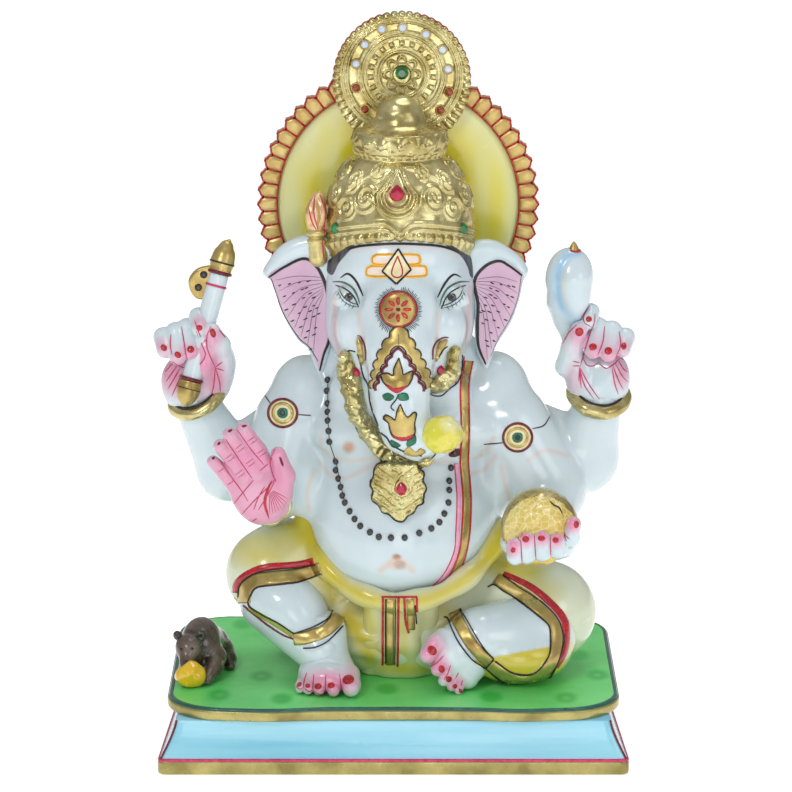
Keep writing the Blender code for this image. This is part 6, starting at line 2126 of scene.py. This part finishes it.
def outline_gold():
    """The black line round the garland and the maroon line round the tusks."""
    chest = ("body", "head")
    strokes("garland_outline", BLACK, chest,
            [((-23.5, 259), (-28, 259.5), (-33.2, 254.4), (-32.6, 246.7), (-32.3, 240.7), (-30.2, 234.7),
              (-29.2, 227.2), (-27.2, 221), (-24.4, 214), (-21.6, 207.6), (-16.5, 200.5), (-12.5, 195),
              (-8, 190.4), (-5.9, 186.6), (2.9, 186.2), (9.5, 184.8), (17.6, 186), (21.5, 188.6),
              (26.2, 193.9)),
             ((-22.2, 257.5), (-20.6, 252.4), (-18.6, 243.7), (-15.6, 237.2), (-14.8, 228.7), (-13.0, 221.2),
              (-10.1, 213.6), (-8.6, 208.2), (-4.2, 204.5), (-1.4, 200.3), (4.6, 196.4), (10.8, 194.2),
              (17.6, 192.6)),
             ((42.6, 257), (42.2, 246.7), (39.6, 239.6), (34.6, 235.4), (30, 231.2), (25.3, 231.0),
              (22.4, 232.6))], 0.95, 0.5, 0.3)
    strokes("tusk_outlines", MAROON, chest + ("right_tusk", "left_tusk"),
            [((-22.5, 269), (-20.4, 268.6), (-18.2, 264.5), (-17.2, 259.5), (-17.1, 253.4)),
             ((34, 268), (30.6, 267.8), (26.6, 265.2), (24.4, 260.4), (24.2, 254))], 1.0, 0.5, 0.5)
    strokes("tusk_dark_lines", BLACK, chest + ("left_tusk",), [((33.5, 262.5), (30.6, 260), (28.0, 255.4))],
            0.8, 0.5, 0.6)
    strokes("garland_left_red_line", RED, chest, [((43.6, 256), (43.4, 240)), ((38.8, 252), (38.4, 238))],
            0.8, 0.4)


# ---------------------------------------------------------------- light, floor and camera

def soft_light(name, place, size, power):
    """A round lamp at place that faces the figure."""
    lamp = bpy.data.lights.new(name, "AREA")
    lamp.shape = "DISK"
    lamp.size = size
    lamp.energy = power
    made = bpy.data.objects.new(name, lamp)
    made.location = place
    made.rotation_euler = (Vector((0, 0, 0.22)) - Vector(place)).to_track_quat("-Z", "Y").to_euler()
    bpy.context.scene.collection.objects.link(made)


def build_studio():
    """The floor, the sky, the lamps and the camera."""
    mesh = bpy.data.meshes.new("floor")
    low = float(BASE[2]) - 0.0005
    mesh.from_pydata([(-9, -9, low), (9, -9, low), (9, 9, low), (-9, 9, low)], [], [(0, 1, 2, 3)])
    floor = bpy.data.objects.new("floor", mesh)
    bpy.context.scene.collection.objects.link(floor)
    pale = finish_of("pale_floor", "#fbfbfb", "#f6f6f6", 4, rough=(0.6, 0.7))
    glow = pale.node_tree.nodes["Principled BSDF"]
    glow.inputs["Emission Color"].default_value = (1, 1, 1, 1)
    glow.inputs["Emission Strength"].default_value = 0.6
    mesh.materials.append(pale)
    world = bpy.data.worlds.new("studio")
    world.use_nodes = True
    tree = world.node_tree
    where = node(tree, "ShaderNodeTexCoord")
    parts = node(tree, "ShaderNodeSeparateXYZ")
    ramp = node(tree, "ShaderNodeValToRGB")
    tree.links.new(where.outputs["Generated"], parts.inputs["Vector"])
    rise = node(tree, "ShaderNodeMapRange")
    rise.inputs["From Min"].default_value = -1.0
    tree.links.new(parts.outputs["Z"], rise.inputs["Value"])
    tree.links.new(rise.outputs["Result"], ramp.inputs["Fac"])
    ramp.color_ramp.elements[0].color, ramp.color_ramp.elements[1].color = (0.3, 0.3, 0.29, 1), (1, 1, 1, 1)
    ramp.color_ramp.elements[0].position, ramp.color_ramp.elements[1].position = 0.35, 0.8
    tree.links.new(ramp.outputs["Color"], tree.nodes["Background"].inputs["Color"])
    tree.nodes["Background"].inputs["Strength"].default_value = 0.5
    bpy.context.scene.world = world
    soft_light("key", (-0.75, -1.6, 1.5), 0.5, 8.0)
    soft_light("fill", (1.3, -1.5, 0.9), 0.9, 4.0)
    soft_light("front", (0.1, -2.2, 0.35), 0.9, 5.0)
    soft_light("top", (0.25, 0.2, 1.9), 0.8, 5.5)
    camera = bpy.data.cameras.new("camera")
    camera.lens = LENS
    camera.sensor_width = 36
    made = bpy.data.objects.new("camera", camera)
    made.location = tuple(BASE + VIEWPOINT * UNIT)
    made.rotation_euler = (math.radians(90 - VIEW_PITCH), 0, 0)
    camera.clip_start, camera.clip_end = 0.05, 50
    bpy.context.scene.collection.objects.link(made)
    bpy.context.scene.camera = made
    bpy.context.scene.view_settings.view_transform = "Standard"


build_body()
build_head()
build_ears()
build_tusks()
build_crown()
build_knob()
build_halo()
build_disc()
build_tassel()
build_rear_right_hand()
build_rear_left_hand()
build_front_right_hand()
build_front_left_hand()
build_sweets()
build_small_sweets()
build_conch()
build_axe()
build_bracelets()
build_garland()
build_pendant()
build_stones()
build_cloth()
build_front_fall()
build_shins()
build_feet()
build_base()
build_mouse()
paint_face()
paint_trunk()
paint_ears()
paint_chest()
paint_dress()
outline_gold()
paint_tassel()
build_studio()
